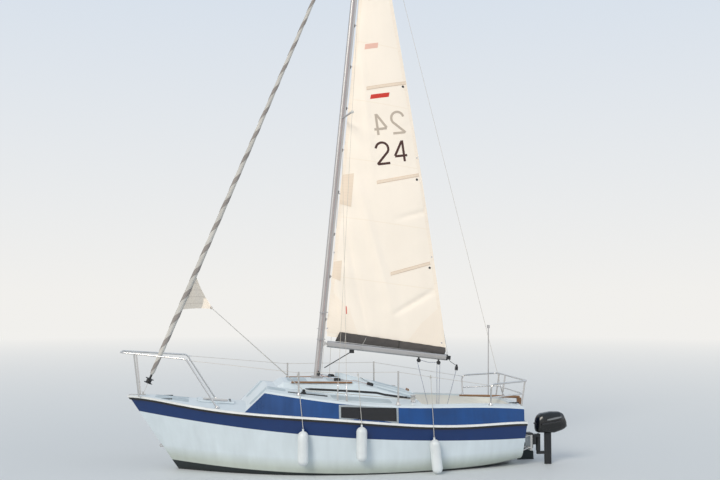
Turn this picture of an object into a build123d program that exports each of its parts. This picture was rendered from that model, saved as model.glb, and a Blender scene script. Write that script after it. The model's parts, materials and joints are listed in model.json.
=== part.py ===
from build123d import *
import os
from math import atan2, cos, hypot, radians, sin

# Cabin sailing boat, 5.8 m long. Millimetres, +X to the bow, +Y to port, +Z up.
# The origin is on the waterline, amidships, on the centreline.

os.makedirs("parts", exist_ok=True)

# Moulded shells
HULL_WALL = 14.0
DECK_WALL = 28.0
LINER_WALL = 14.0
RAISED_SIDE_ROOM = 430.0
SIDE_LEAN = 0.05
DECK_CAMBER = 0.06
# Deck curves run on past the sides and the ends, and are cut to the hull
DECK_OVERRUN = 80.0
FORM_FLOOR = -900.0
ALL_Y = (-1600.0, 1600.0)
ALL_Z = (-1000.0, 3000.0)
FAR_AFT = -3600.0
FAR_FORE = 3500.0

# Hull sections, from the transom to the stem. Each lies in the plane through its keel and sheer points.
# columns: sheer x, sheer half beam, sheer z, keel x, keel z, turn half width, turn z, bilge radius
STATIONS = (
    (-2890, 705, 625, -2840, 70, 590, 110, 150),
    (-2000, 925, 640, -2000, -95, 820, -10, 320),
    (-800, 1088, 706, -800, -225, 960, -110, 430),
    (400, 1032, 806, 400, -250, 860, -120, 400),
    (1400, 760, 872, 1350, -190, 500, -60, 260),
    (2100, 465, 958, 1900, -110, 190, 10, 120),
    (2855, 30, 1030, 2130, -40, 26, 60, 16),
)
STEM_DEPTH = 90.0

# Edge of the raised deck, columns: x, z of its underside at the side
RAISED_EDGE = (
    (-2960, 832),
    (-1260, 928),
    (-370, 985),
    (430, 1078),
    (1450, 1215),
)
RAISED_FRONT_FOOT = (1250.0, 880.0)
RAISED_FRONT_TOP = (960.0, 1165.0)
RAISED_END = -2843.0

# Coachroof, columns: x, half width at the foot, half width at the top, z at the side, z at the crown
ROOF_SECTIONS = (
    (1100, 300, 290, 1000, 1015),
    (670, 480, 410, 1262, 1285),
    (-350, 570, 490, 1250, 1282),
    (-1270, 570, 540, 990, 1035),
)
ROOF_BASE = 880.0
ROOF_WALL = 14.0

# Cockpit
BULKHEAD_X = -1270.0
COCKPIT_AFT = -2700.0
COCKPIT_HALF_FRONT = 900.0
COCKPIT_HALF_AFT = 590.0
SEAT_Z = 600.0
WELL_HALF = 260.0
WELL_AFT = -2560.0
WELL_FLOOR = 230.0
DOOR_HALF = 255.0
DOOR_SILL = 640.0
HATCH_FRONT = -640.0
RUNNER_LENGTH = 1150.0

# Cabin inside
CABIN_AFT = -1240.0
CABIN_FORE = 1700.0
SOLE_Z = -60.0
BERTH_Z = 240.0
LINER_THICK = 16.0
AISLE_FORE = 900.0
AISLE_HALF = 250.0

# Forehatch, with two hinges at its front edge
FOREHATCH_X = (1400.0, 1860.0)
FOREHATCH_HALF = 200.0
FOREHATCH_RIM = 20.0
RIM_RISE = 8.0
LID_THICK = 16.0
SEAT_GAP = 0.3
HINGE_Y = 120.0
HINGE_Z = 1004.0
HINGE_KNUCKLE = 9.0
HINGE_PIN = 3.0
HINGE_GAP = 18.0
EAR_HALF = 4.0
LEAF_THICK = 4.0

# Keel fin, columns: fore x, aft x, z, thickness
KEEL_SECTIONS = ((620, -820, -150, 130), (380, -640, -760, 100))

# Rubbing strake
RAIL_PROUD = 20.0
RAIL_HIGH = 28.0
STRIP_PROUD = 17.0
STRIP_HIGH = 32.0

# Side windows, columns: aft x, z, fore x, z
WINDOW_FOOT = (-870.0, 745.0, -70.0, 815.0)
WINDOW_HEAD = (-870.0, 945.0, -70.0, 975.0)
FRAME_WIDE = 22.0
FRAME_PROUD = 6.0
GLASS = 5.0

# Mast and rig
MAST_FOOT = Vector(140, 0, 1290)
MAST_TOP = Vector(-590, 0, 8780)
MAST_LONG = 48.0
MAST_WIDE = 33.0
GROOVE_DEEP = 14.0
GROOVE_WIDE = 10.0
MAST_SUNK = 60.0
MAST_STEP = (170.0, 120.0, 60.0)
MASTHEAD = (270.0, 44.0, 24.0)
GOOSENECK_Z = 1800.0
LUFF_GAP = 22.0
GOOSENECK_PIN = 5.0
PIN_ROOM = 0.3
BOOM_END = (-1840.0, 1570.0)
BOOM_HIGH = 96.0
BOOM_WIDE = 60.0
BOOM_SETBACK = 36.0
SAIL_THICK = 8.0
SAIL_TACK_Z = 1905.0
# Level sections of the sail's sheet, columns: z, chord, depth of the belly
SAIL_SECTIONS = ((1500, 1990, 4), (3600, 1560, 95), (8700, 260, 6))
# Sail cover, columns: distance along the boom, height over it
COVER_CORNERS = ((210, 0.3), (1790, 0.3), (1800, 62), (330, 150))
COVER_HALF = 38.0
LEECH = ((-1850.0, 1660.0), (-1250.0, 5710.0), (-745.0, 8500.0))
SPREADER_Z = 5200.0
SPREADER_HALF = 600.0
SPREADER_SWEEP = 60.0
SPREADER_RADIUS = 14.0
CAP_HEAD_Z = MAST_TOP.Z - 80.0
LOWER_HEAD_Z = 5080.0
WIRE = 2.5
CHAINPLATE_Y = 985.0
CAP_CHAIN_X = -40.0
CAP_CHAIN_Z = 1120.0
LOWER_CHAIN_X = -170.0
LOWER_CHAIN_Z = 1112.0
STAY_FOOT = Vector(2676, 0, 1085)
STAY_HEAD = MAST_TOP + Vector(68, 0, -45)
DRUM_RADIUS = 62.0
DRUM_FROM = 170.0
DRUM_NECK = 130.0
ROLL_FROM = 300.0
ROLL_SHARE = 0.95
ROLL_RADII = (32.0, 44.0, 22.0)
ROLL_FULLEST = 900.0
CLEW_HALF_THICK = 5.0
# Corner of the jib that hangs out of the roll, columns: x, z
CLEW_CORNERS = ((1935, 2800), (2130, 2310), (1682, 2310))
CRANE = -170.0
BACKSTAY_FOOT = Vector(-2800, -200, 965)

# Rails
TUBE = 12.5
STANCHION_TOP = 1450.0
STANCHION_LEAN = 20.0
# columns: x, y, top of the socket
STANCHIONS = ((500, 905, 1130), (-900, 1000, 1020))
# columns: x, y, z along the port side, which starboard mirrors
PULPIT_POINTS = ((1600, 610, 900), (2060, 530, 1616), (2990, 190, 1700))
PUSHPIT_POINTS = ((-2310, 775, 800), (-2310, 835, 1225), (-2880, 740, 1262))
# Posts of the stern rail, from the foot to the rail, columns: x, z
PUSHPIT_POST = ((-2790, 700), (-2880, 1262))
PUSHPIT_POSTS_Y = (650, -330, -650)
PUSHPIT_MID_Z = 1065.0
MID_TUBE = 9.0

# Pole of the stern light, columns: x, y, foot, top
LIGHT_POLE = (-2700, -670, 800, 2000)

# Deck gear
# Winch, columns: x, y, z of the foot, height
WINCH = (-1165, 765, 960, 125)
# Jib sheet track, columns: x, z of its ends, a little under the deck
TRACK_ENDS = ((80, 1067), (640, 1132))
TRACK_Y = 775.0
TRACK_WIDE = 26.0
TRACK_DEEP = 60.0
CAR_SHIFT = 60.0
CAR = (70.0, 34.0, 20.0)
SHEAVE = (23.0, 14.0)
# Block for the mainsheet on the cockpit's floor
SHEET_BASE_X = -1700.0
BASE_RADIUS = 60.0
BASE_HIGH = 20.0
CHEEK_Y = 14.0
CHEEK = (52.0, 4.0, 80.0)
CLEAT_LONG = 150.0
CLEAT_HIGH = 48.0
GRAB_RADIUS = 14.0

# Fenders, columns: x, z of the middle, lean in degrees
FENDERS = ((450, 405, 0), (-355, 460, 0), (-1432, 250, 6))
FENDER_RADIUS = 75.0
FENDER_BARREL = 330.0
FENDER_GAP = 1.3
FENDER_EYE = (14.0, 40.0)

# Rudder, hung on the transom
RUDDER_X = -2965.0
RUDDER_TOP = 700.0
PINTLE = 6.0
GUDGEONS = (160.0, 560.0)
FOIL_EDGE = 4.0
# Blade, columns: fore x, aft x, z, thickness
BLADE_SECTIONS = (
    (-2957, -3045, 298, 40),
    (-2957, -3215, 120, 40),
    (-2960, -3230, -200, 36),
    (-2990, -3190, -620, 24),
)
# Tiller, columns: x, height over the rudder head, width, depth
TILLER_SECTIONS = ((-3000, 250, 40, 46), (-2500, 275, 34, 38), (-2050, 290, 26, 28))

# Outboard motor
MOTOR_Y = 450.0
TILT_X = -3062.0
TILT_Z = 425.0
STEER_X = -3140.0
LEG_X = (-3345.0, -3235.0)
COWL_BASE = 462.0
PROP_Z = -430.0
TILT_TUBE = 12.0
STEER_SHAFT = 16.0
COWL_HALF = 125.0
COWL_LONG = 486.0
COWL_CORNER = 105.0
CLAMP_HALF = 75.0
BRACKET_HALF = 120.0
SWIVEL_RADIUS = 34.0
TILT_BOSS = 19.0
LEG_THICK = 56.0
HANDLE_RADIUS = 15.0
COWL_MIDDLE = -3342.0
# Cowl seen from the side, columns: x, z
COWL_OUTLINE = (
    (-3100, COWL_BASE),
    (-3104, 690),
    (-3170, 752),
    (-3330, 778),
    (-3500, 770),
    (-3560, 660),
    (-3585, 570),
    (-3545, 520),
    (-3380, COWL_BASE),
)
GEAR_RADIUS = 38.0
# Skeg under the gear case, columns: fore x, aft x, drop, thickness
SKEG_SECTIONS = ((-3220, -3350, -10, 14), (-3285, -3350, -150, 9))
PROP_X = -3406.5
HUB_RADIUS = 30.0
HUB_LENGTH = 62.0
BLADES = 3
# Propeller blade, columns: radius, chord, thickness, pitch in degrees
PROP_SECTIONS = ((24, 46, 11, 58), (65, 82, 7, 40), (104, 44, 4, 28))

# Eye in the stem for towing
EYE_Z = 340.0
EYE_HOLE = 9.0
EYE_THICK = 12.0


NODES = {}


def keep(name, *solids):
    """Store one named piece, which may be several solids that don't touch."""
    NODES[name] = solids[0] if len(solids) == 1 else Compound(children=list(solids))


def side_plane(y=0.0):
    """Plane seen from starboard: its first axis is +X and its second +Z."""
    return Plane(origin=(0, y, 0), x_dir=(1, 0, 0), z_dir=(0, -1, 0))


def rod(start, end, radius):
    """Round bar between two points."""
    start, end = Vector(*start), Vector(*end)
    reach = end - start
    plane = Plane(origin=start, z_dir=reach.normalized())
    return extrude(plane * Circle(radius), amount=reach.length)


def tube_path(points, bend, radius):
    """Bent round tube through the points."""
    path = FilletPolyline(*points, radius=bend)
    start = Plane(origin=path @ 0, z_dir=path % 0)
    return sweep(start * Circle(radius), path=path)


def section_face(row, inset=0.0, shift=0.0):
    """Closed section of the hull, from the keel to above the raised deck."""
    sheer_x, half, sheer_z, keel_x, keel_z, turn_half, turn_z, bilge = row
    reach = hypot(sheer_x - keel_x, sheer_z - keel_z)
    lean_x, lean_z = (sheer_x - keel_x) / reach, (sheer_z - keel_z) / reach
    plane = Plane(origin=(keel_x + shift, 0, keel_z), x_dir=(0, 1, 0), z_dir=(lean_z, 0, -lean_x))
    turn_h = (turn_z - keel_z) / lean_z
    top_h = reach + RAISED_SIDE_ROOM / lean_z
    keel = (0, inset)
    turn = (turn_half - inset, turn_h + inset)
    sheer = (half - inset, reach)
    top = (half * (1 - SIDE_LEAN) - inset, top_h)
    side = FilletPolyline(keel, turn, sheer, radius=bilge - min(inset, bilge / 2))
    side += Line(sheer, top)
    other = mirror(side, about=Plane.YZ)
    lid = Line(top, (-top[0], top[1]))
    return plane * make_face(side.edges() + other.edges() + lid.edges())


def hull_form(inset=0.0):
    """Solid inside the hull's outer surface, drawn in by inset."""
    rows = list(STATIONS)
    if inset > 0:
        stem = list(rows[-1])
        stem[1] = stem[1] + inset
        stem[5] = stem[5] + inset
        faces = [section_face(rows[0], inset, shift=inset)]
        faces += [section_face(row, inset) for row in rows[1:-1]]
        faces += [section_face(stem, inset, shift=-STEM_DEPTH)]
    else:
        faces = [section_face(row, inset) for row in rows[:-1]]
        faces += [section_face(rows[-1], inset, shift=-inset)]
    return loft(faces)


def cambered(x, half, edge_z, floor_z):
    """Vertical section that is closed above by the deck's curve across the boat."""
    crown = edge_z + half * DECK_CAMBER
    wide = half + DECK_OVERRUN
    edge = crown - half * DECK_CAMBER * (wide / half) ** 2
    plane = Plane(origin=(x, 0, 0), x_dir=(0, 1, 0), z_dir=(1, 0, 0))
    top = ThreePointArc((-wide, edge), (0, crown), (wide, edge))
    sides = Polyline((wide, edge), (wide, floor_z), (-wide, floor_z), (-wide, edge))
    return plane * make_face(top.edges() + sides.edges())


def sheer_form(lift=0.0):
    """Everything below the deck at sheer level, lifted by a height."""
    rows = [(row[0], row[1], row[2]) for row in STATIONS]
    rows[0] = (rows[0][0] - DECK_OVERRUN, rows[0][1], rows[0][2])
    rows[-1] = (rows[-1][0] + DECK_OVERRUN, 120, rows[-1][2] + 5)
    return loft([cambered(x, half, z + lift, FORM_FLOOR) for x, half, z in rows])


def half_beam(x):
    """Half beam at the sheer, between the stations."""
    for low, high in zip(STATIONS, STATIONS[1:]):
        if x <= high[0]:
            return low[1] + (high[1] - low[1]) * (x - low[0]) / (high[0] - low[0])
    return STATIONS[-1][1]


def raised_form(lift=0.0):
    """Everything below the raised deck, lifted by a height."""
    rows = [(x, max(half_beam(x), 700) * (1 - SIDE_LEAN), z + lift) for x, z in RAISED_EDGE]
    return loft([cambered(x, half, z, FORM_FLOOR) for x, half, z in rows])


def behind_slope(step=0.0):
    """Space aft of the sloping front of the raised deck."""
    (foot_x, foot_z), (top_x, top_z) = RAISED_FRONT_FOOT, RAISED_FRONT_TOP
    run = (foot_x - top_x) / (top_z - foot_z)
    low, high = -1200.0, 2200.0
    line = Polyline(
        (foot_x + run * (foot_z - low) - step, low),
        (foot_x - run * (high - foot_z) - step, high),
        (FAR_AFT, high),
        (FAR_AFT, low),
        close=True,
    )
    return extrude(side_plane() * make_face(line.edges()), amount=ALL_Y[1], both=True)


def block(x, y, z):
    """Box from pairs of lowest and highest coordinates."""
    size = [high - low for low, high in (x, y, z)]
    centre = [(high + low) / 2 for low, high in (x, y, z)]
    return Pos(*centre) * Box(*size)


OUTER = hull_form()
INNER = hull_form(HULL_WALL)
SHEER = sheer_form()
SHEER_TOP = sheer_form(DECK_WALL)
RAISED = raised_form()
RAISED_TOP = raised_form(DECK_WALL)

SLOPE = behind_slope()
SLOPE_IN = behind_slope(DECK_WALL)
AHEAD_OF_END = block((RAISED_END, FAR_FORE), ALL_Y, ALL_Z)
AHEAD_INSIDE = block((RAISED_END + HULL_WALL, FAR_FORE), ALL_Y, ALL_Z)
END_SHELF = block((FAR_AFT, RAISED_END + HULL_WALL), ALL_Y, ALL_Z)


def roof_form(inset=0.0):
    """Coachroof from below the deck up to its crown."""
    faces = []
    for x, foot, top, side_z, crown_z in ROOF_SECTIONS:
        plane = Plane(origin=(x, 0, 0), x_dir=(0, 1, 0), z_dir=(1, 0, 0))
        foot, top, side_z, crown_z = foot - inset, top - inset, side_z - inset, crown_z - inset
        arc = ThreePointArc((-top, side_z), (0, crown_z), (top, side_z))
        sides = Polyline((top, side_z), (foot, ROOF_BASE), (-foot, ROOF_BASE), (-top, side_z))
        faces.append(plane * make_face(arc.edges() + sides.edges()))
    return loft(faces, ruled=True)


ROOF = roof_form()
ROOF_IN = roof_form(ROOF_WALL) & block((BULKHEAD_X + ROOF_WALL, 1060), (-800, 800), (0, 1400))


# Hull

def make_hull():
    shell = (OUTER - INNER) & SHEER
    keep("hull_shell", shell)

    keep("keel", loft([foil(fore, aft, z, thick) for fore, aft, z, thick in KEEL_SECTIONS]) - OUTER)

    grown = hull_form(-RAIL_PROUD) - OUTER
    keep("rubbing_rail", grown & (sheer_form(RAIL_HIGH) - SHEER))
    strip = hull_form(-STRIP_PROUD) - OUTER
    keep("rubber_strip", strip & (SHEER - sheer_form(-STRIP_HIGH)))


# Deck

def window_prism(grow, half):
    aft_x, aft_z, fore_x, fore_z = WINDOW_FOOT
    top_aft_z, top_fore_z = WINDOW_HEAD[1], WINDOW_HEAD[3]
    outline = Polyline(
        (aft_x - grow, aft_z - grow),
        (fore_x + grow, fore_z - grow),
        (fore_x + grow, top_fore_z + grow),
        (aft_x - grow, top_aft_z + grow),
        close=True,
    )
    return extrude(side_plane() * make_face(outline.edges()), amount=half, both=True)


def cockpit_outline(grow=0.0):
    fore, aft = BULKHEAD_X + grow, COCKPIT_AFT - grow
    front, back = COCKPIT_HALF_FRONT + grow, COCKPIT_HALF_AFT + grow
    line = Polyline((fore, front), (aft, back), (aft, -back), (fore, -front), close=True)
    face = make_face(line.edges())
    return fillet(face.vertices(), 60 + grow)


def make_deck():
    fore = (SHEER_TOP - SHEER) & OUTER
    fore -= SLOPE
    hatch_hole = block(FOREHATCH_X, (-FOREHATCH_HALF, FOREHATCH_HALF), (700, 1200))
    keep("foredeck", fore - hatch_hole)

    shell = (OUTER & AHEAD_OF_END) - (INNER & AHEAD_INSIDE)
    sides = (shell & RAISED & SLOPE) - SHEER
    shelf = ((OUTER & sheer_form(HULL_WALL)) - SHEER) & END_SHELF
    keep("raised_sides", sides + shelf - window_prism(0, 1400))

    plate = (RAISED_TOP - RAISED) & OUTER & SLOPE & AHEAD_OF_END
    slope_plate = ((INNER & RAISED & SLOPE) - SLOPE_IN) - SHEER
    opening = extrude(Plane.XY.offset(400) * cockpit_outline(), amount=1200)
    deck = plate + slope_plate
    keep("raised_deck", deck - opening - ROOF_IN)

    roof = ROOF - ROOF_IN - (RAISED_TOP & SLOPE)
    hatch_hole = block((BULKHEAD_X - 40, HATCH_FRONT), (-DOOR_HALF, DOOR_HALF), (900, 1400))
    keep("coachroof", roof - hatch_hole)


def make_cockpit():
    outer = extrude(Plane.XY.offset(SEAT_Z - LINER_WALL) * cockpit_outline(LINER_WALL), amount=900)
    inner = extrude(Plane.XY.offset(SEAT_Z) * cockpit_outline(), amount=900)
    well_out = block(
        (WELL_AFT - LINER_WALL, BULKHEAD_X + LINER_WALL),
        (-WELL_HALF - LINER_WALL, WELL_HALF + LINER_WALL),
        (WELL_FLOOR - LINER_WALL, SEAT_Z),
    )
    well = block((WELL_AFT, BULKHEAD_X), (-WELL_HALF, WELL_HALF), (WELL_FLOOR, SEAT_Z + 50))
    door = block((BULKHEAD_X - 5, BULKHEAD_X + 60), (-DOOR_HALF, DOOR_HALF), (DOOR_SILL, 1200))
    tub = (outer & RAISED & AHEAD_OF_END) + well_out - inner - well
    keep("cockpit", tub - door)


def make_cabin():
    sole = block((CABIN_AFT, CABIN_FORE), (-1100, 1100), (SOLE_Z, SOLE_Z + LINER_THICK))
    berths = block((CABIN_AFT, CABIN_FORE), (-1100, 1100), (BERTH_Z, BERTH_Z + LINER_THICK))
    aisle = block((CABIN_AFT - 20, AISLE_FORE), (-AISLE_HALF, AISLE_HALF), (SOLE_Z - 40, BERTH_Z + 60))
    fronts = block(
        (CABIN_AFT, AISLE_FORE + LINER_THICK),
        (-AISLE_HALF - LINER_THICK, AISLE_HALF + LINER_THICK),
        (SOLE_Z, BERTH_Z + LINER_THICK),
    )
    keep("cabin_liner", (sole + (berths - aisle) + (fronts - aisle)) & INNER)


def make_windows():
    panes = []
    for side in (1, -1):
        half = block((-2000, 1000), tuple(sorted((side * 400, side * 1400))), (500, 1300))
        skin = (INNER.moved(Location((0, side * GLASS, 0))) - INNER) & half
        panes.append(skin & window_prism(0, 1400) & RAISED)
    keep("window_glass", *panes)
    proud = hull_form(-FRAME_PROUD) - OUTER
    ring = (proud & window_prism(FRAME_WIDE, 1400)) - window_prism(-FRAME_PROUD, 1500)
    keep("window_frames", (ring - sheer_form(RAIL_HIGH)) & RAISED)


def make_hatches():
    fore, aft = ROOF_SECTIONS[2], ROOF_SECTIONS[3]
    slope = atan2(fore[4] - aft[4], fore[0] - aft[0])
    roof_run = Plane(
        origin=(aft[0], 0, aft[4]), x_dir=(cos(slope), 0, sin(slope)), z_dir=(-sin(slope), 0, cos(slope))
    )
    runner = roof_run * Pos(RUNNER_LENGTH / 2 - 15, 0, 0) * Box(RUNNER_LENGTH, 22, 60)
    runners = [Pos(0, side * (DOOR_HALF + 20), -8) * runner - ROOF for side in (1, -1)]
    keep("hatch_runners", *runners)
    length = (HATCH_FRONT + 60 - BULKHEAD_X) / cos(slope)
    lid = roof_run * Pos(length / 2 - 12, 0, 27.3) * Box(length, 2 * DOOR_HALF + 90, 10)
    lid = fillet(lid.edges().filter_by(Axis((0, 0, 0), roof_run.z_dir)), 30)
    grip = roof_run * Pos(20, 0, 32.3 + 8) * Box(24, 200, 16)
    keep("sliding_hatch", lid + grip)

    back = BULKHEAD_X + LINER_WALL + 0.3
    board = block((back, back + 14), (-DOOR_HALF - 20, DOOR_HALF + 20), (DOOR_SILL - 30, 1012)) - ROOF
    keep("washboard", board)
    make_forehatch()


def make_forehatch():
    """Hatch in the foredeck, with its hinge at the front edge."""
    low, high = FOREHATCH_X
    half, rim, over = FOREHATCH_HALF, FOREHATCH_RIM, FOREHATCH_RIM + 10
    hole = block((low, high), (-half, half), (600, 1400))
    rim_top = DECK_WALL + RIM_RISE
    band = block((low - rim, high + rim), (-half - rim, half + rim), (700, 1300)) - hole
    hinge_x = high + over + HINGE_KNUCKLE
    hinge_z = HINGE_Z
    ears, knuckles = [], []
    for y in (-HINGE_Y, HINGE_Y):
        for dy in (-HINGE_GAP, HINGE_GAP):
            width = (y + dy - EAR_HALF, y + dy + EAR_HALF)
            ears.append(block((high + rim, hinge_x + 6), width, (900, hinge_z - 13)) - SHEER_TOP)
            ears.append(block((hinge_x - 6, hinge_x + 6), width, (900, hinge_z + 6)) - SHEER_TOP)
        pin = Pos(hinge_x, y, hinge_z) * (Rot(90, 0, 0) * Cylinder(HINGE_PIN, 2 * HINGE_GAP + 8))
        ears.append(pin)
        sleeve = Pos(hinge_x, y, hinge_z) * (Rot(90, 0, 0) * Cylinder(HINGE_KNUCKLE - 2, 2 * HINGE_GAP - 9))
        leaf_width = (y - HINGE_GAP + 5, y + HINGE_GAP - 5)
        leaf = block((high - 20, hinge_x), leaf_width, (hinge_z + 2, hinge_z + 2 + LEAF_THICK))
        bore = Pos(hinge_x, y, hinge_z) * (Rot(90, 0, 0) * Cylinder(HINGE_PIN + PIN_ROOM, 60))
        knuckles.append(sleeve + leaf - bore)
    frame = (sheer_form(rim_top) - SHEER_TOP) & band
    for ear in ears:
        frame += ear
    keep("forehatch_rim", frame)
    lid_box = block((low - over, high + over), (-half - over, half + over), (700, 1300))
    lid = (sheer_form(rim_top + LID_THICK) - sheer_form(rim_top + SEAT_GAP)) & lid_box
    for knuckle in knuckles:
        lid += knuckle
    keep("forehatch", lid)


def mast_plane(along=0.0):
    direction = (MAST_TOP - MAST_FOOT).normalized()
    forward = Vector(direction.Z, 0, -direction.X)
    return Plane(origin=MAST_FOOT + direction * along, x_dir=forward, z_dir=direction)


def mast_along(z):
    """Distance along the mast at a height."""
    direction = (MAST_TOP - MAST_FOOT).normalized()
    return (z - MAST_FOOT.Z) / direction.Z


def mast_point(z, forward=0.0, side=0.0):
    """Point beside the mast's centre line at a height."""
    plane = mast_plane(mast_along(z))
    return plane.origin + plane.x_dir * forward + Vector(0, side, 0)


def luff_point(z):
    return mast_point(z, -MAST_LONG - LUFF_GAP)


def make_mast():
    height = (MAST_TOP - MAST_FOOT).length
    section = SlotOverall(2 * MAST_LONG, 2 * MAST_WIDE)
    section -= Pos(-MAST_LONG + GROOVE_DEEP / 2, 0) * Rectangle(GROOVE_DEEP, GROOVE_WIDE)
    mast = extrude(mast_plane(-MAST_SUNK) * section, amount=height + MAST_SUNK) - ROOF
    keep("mast", mast)
    step = (mast_plane(-10) * Box(*MAST_STEP)) - ROOF - mast
    keep("mast_step", step)
    head = mast_plane(height) * Pos(-50, 0, MASTHEAD[2] / 2) * Box(*MASTHEAD)
    head += mast_plane(height) * Pos(-MAST_LONG, 0, -20) * Box(20, MASTHEAD[1], 40)
    keep("masthead", head - mast)

    arms = []
    for side in (1, -1):
        root = mast_point(SPREADER_Z, 0, side * 10)
        tip = mast_point(SPREADER_Z, -SPREADER_SWEEP, side * SPREADER_HALF)
        arms.append(rod(root, tip, SPREADER_RADIUS) - mast)
    keep("spreaders", *arms)
    plates = make_shrouds("port_shrouds", 1) + make_shrouds("starboard_shrouds", -1)
    keep("chainplates", *plates)
    make_stays()


def make_shrouds(name, side):
    """Cap shroud over the spreader and lower shroud on one side. Returns their two chainplates."""
    beside = side * (MAST_WIDE + WIRE)
    tip = mast_point(SPREADER_Z, -SPREADER_SWEEP - 2, side * (SPREADER_HALF + WIRE + 2))
    cap_foot = Vector(CAP_CHAIN_X, side * CHAINPLATE_Y, CAP_CHAIN_Z)
    low_foot = Vector(LOWER_CHAIN_X, side * CHAINPLATE_Y, LOWER_CHAIN_Z)
    wires = [
        rod(mast_point(CAP_HEAD_Z, 0, beside), tip, WIRE),
        rod(tip, cap_foot, WIRE),
        rod(mast_point(LOWER_HEAD_Z, 0, beside), low_foot, WIRE),
    ]
    width = (side * CHAINPLATE_Y - 3, side * CHAINPLATE_Y + 3)
    plates = [
        block((x - 14, x + 14), width, (900, z + 14)) - RAISED_TOP
        for x, z in ((CAP_CHAIN_X, CAP_CHAIN_Z), (LOWER_CHAIN_X, LOWER_CHAIN_Z))
    ]
    keep(name, *[wire - plates[0] - plates[1] for wire in wires])
    return plates


def make_stays():
    run = STAY_HEAD - STAY_FOOT
    stay = run.normalized()

    def on_stay(along):
        return Plane(origin=STAY_FOOT + stay * along, z_dir=stay)

    roll_end = run.length * ROLL_SHARE
    lower = extrude(on_stay(0) * Circle(WIRE), amount=DRUM_FROM)
    upper = extrude(on_stay(roll_end + SEAT_GAP) * Circle(WIRE), amount=run.length - roll_end - SEAT_GAP)
    keep("forestay", lower, upper - NODES["masthead"])
    profile = Polyline(
        (0, 0), (DRUM_RADIUS, 0), (DRUM_RADIUS, 8), (38, 14), (38, 56), (DRUM_RADIUS, 62), (DRUM_RADIUS, 70),
        (16, 78), (16, DRUM_NECK), (0, DRUM_NECK), close=True,
    )
    drum = revolve(Plane.XZ * make_face(profile.edges()), Axis.Z)
    keep("furler_drum", on_stay(DRUM_FROM) * drum)
    roll_long = roll_end - ROLL_FROM
    foot, full, top = ROLL_RADII
    roll = Polyline((0, 0), (foot, 0), (full, ROLL_FULLEST), (top, roll_long), (0, roll_long), close=True)
    roll = on_stay(ROLL_FROM) * revolve(Plane.XZ * make_face(roll.edges()), Axis.Z)
    clew = Polyline(*CLEW_CORNERS, close=True)
    patch = extrude(side_plane() * make_face(clew.edges()), amount=CLEW_HALF_THICK, both=True)
    keep("furled_jib", roll + patch)

    top = mast_plane((MAST_TOP - MAST_FOOT).length)
    crane = top.origin + top.x_dir * CRANE + top.z_dir * 10
    x, y, z = BACKSTAY_FOOT
    foot = block((x - 14, x + 14), (y - 3, y + 3), (600, z + 20)) - RAISED_TOP
    keep("backstay", rod(crane, BACKSTAY_FOOT, WIRE) - foot - NODES["masthead"])
    keep("backstay_plate", foot)


def make_boom():
    pivot = luff_point(GOOSENECK_Z)
    plane = mast_plane(mast_along(GOOSENECK_Z))
    reach = -MAST_LONG - LUFF_GAP
    fitting = plane * Pos(-MAST_LONG + 2, 0, 0) * Box(10, 30, 90)
    fitting += plane * Pos(reach, 0, -34) * extrude(Circle(GOOSENECK_PIN), amount=68)
    for side in (1, -1):
        fitting += plane * Pos(reach + LUFF_GAP / 2 - 4, 0, side * 24) * Box(LUFF_GAP + 20, 22, 8)
    keep("gooseneck", fitting - NODES["mast"])

    end = Vector(BOOM_END[0], 0, BOOM_END[1])
    length = (end - pivot).length
    aim = (end - pivot).normalized()
    up = Vector(-aim.Z, 0, aim.X) * (-1 if aim.X < 0 else 1)
    boom_plane = Plane(origin=pivot + aim * BOOM_SETBACK, x_dir=(0, 1, 0), z_dir=aim)
    boom = extrude(boom_plane * RectangleRounded(BOOM_WIDE, BOOM_HIGH, 26), amount=length - BOOM_SETBACK)
    keep("boom", boom)
    tang = plane * Pos(reach - 18, 0, 0) * Box(52, 18, 34)
    hole = plane * Pos(reach, 0, -30) * extrude(Circle(GOOSENECK_PIN + PIN_ROOM), amount=60)
    keep("boom_tang", tang - hole - boom)

    tail_plane = Plane(origin=end, x_dir=(0, 1, 0), z_dir=aim)
    cap = extrude(tail_plane * RectangleRounded(BOOM_WIDE - 6, BOOM_HIGH - 6, 24), amount=26)
    cap += tail_plane * Pos(0, 0, 45) * Box(12, 60, 60)
    keep("boom_end", cap)

    def on_boom(along, height):
        point = pivot + aim * along + up * (BOOM_HIGH / 2 + height)
        return (point.X, point.Z)

    cover = Polyline(*[on_boom(along, height) for along, height in COVER_CORNERS], close=True)
    cover = extrude(side_plane() * make_face(cover.edges()), amount=COVER_HALF, both=True)
    keep("sail_cover", cover)
    make_mainsail(on_boom, cover)

    low = luff_point(1440) + Vector(-30, 0, 0)
    high = pivot + aim * 420 - up * (BOOM_HIGH / 2 + 24)
    vang = rod(low, high, 7) + Pos(*high) * Box(70, 26, 50)
    keep("vang", vang - boom)


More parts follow.
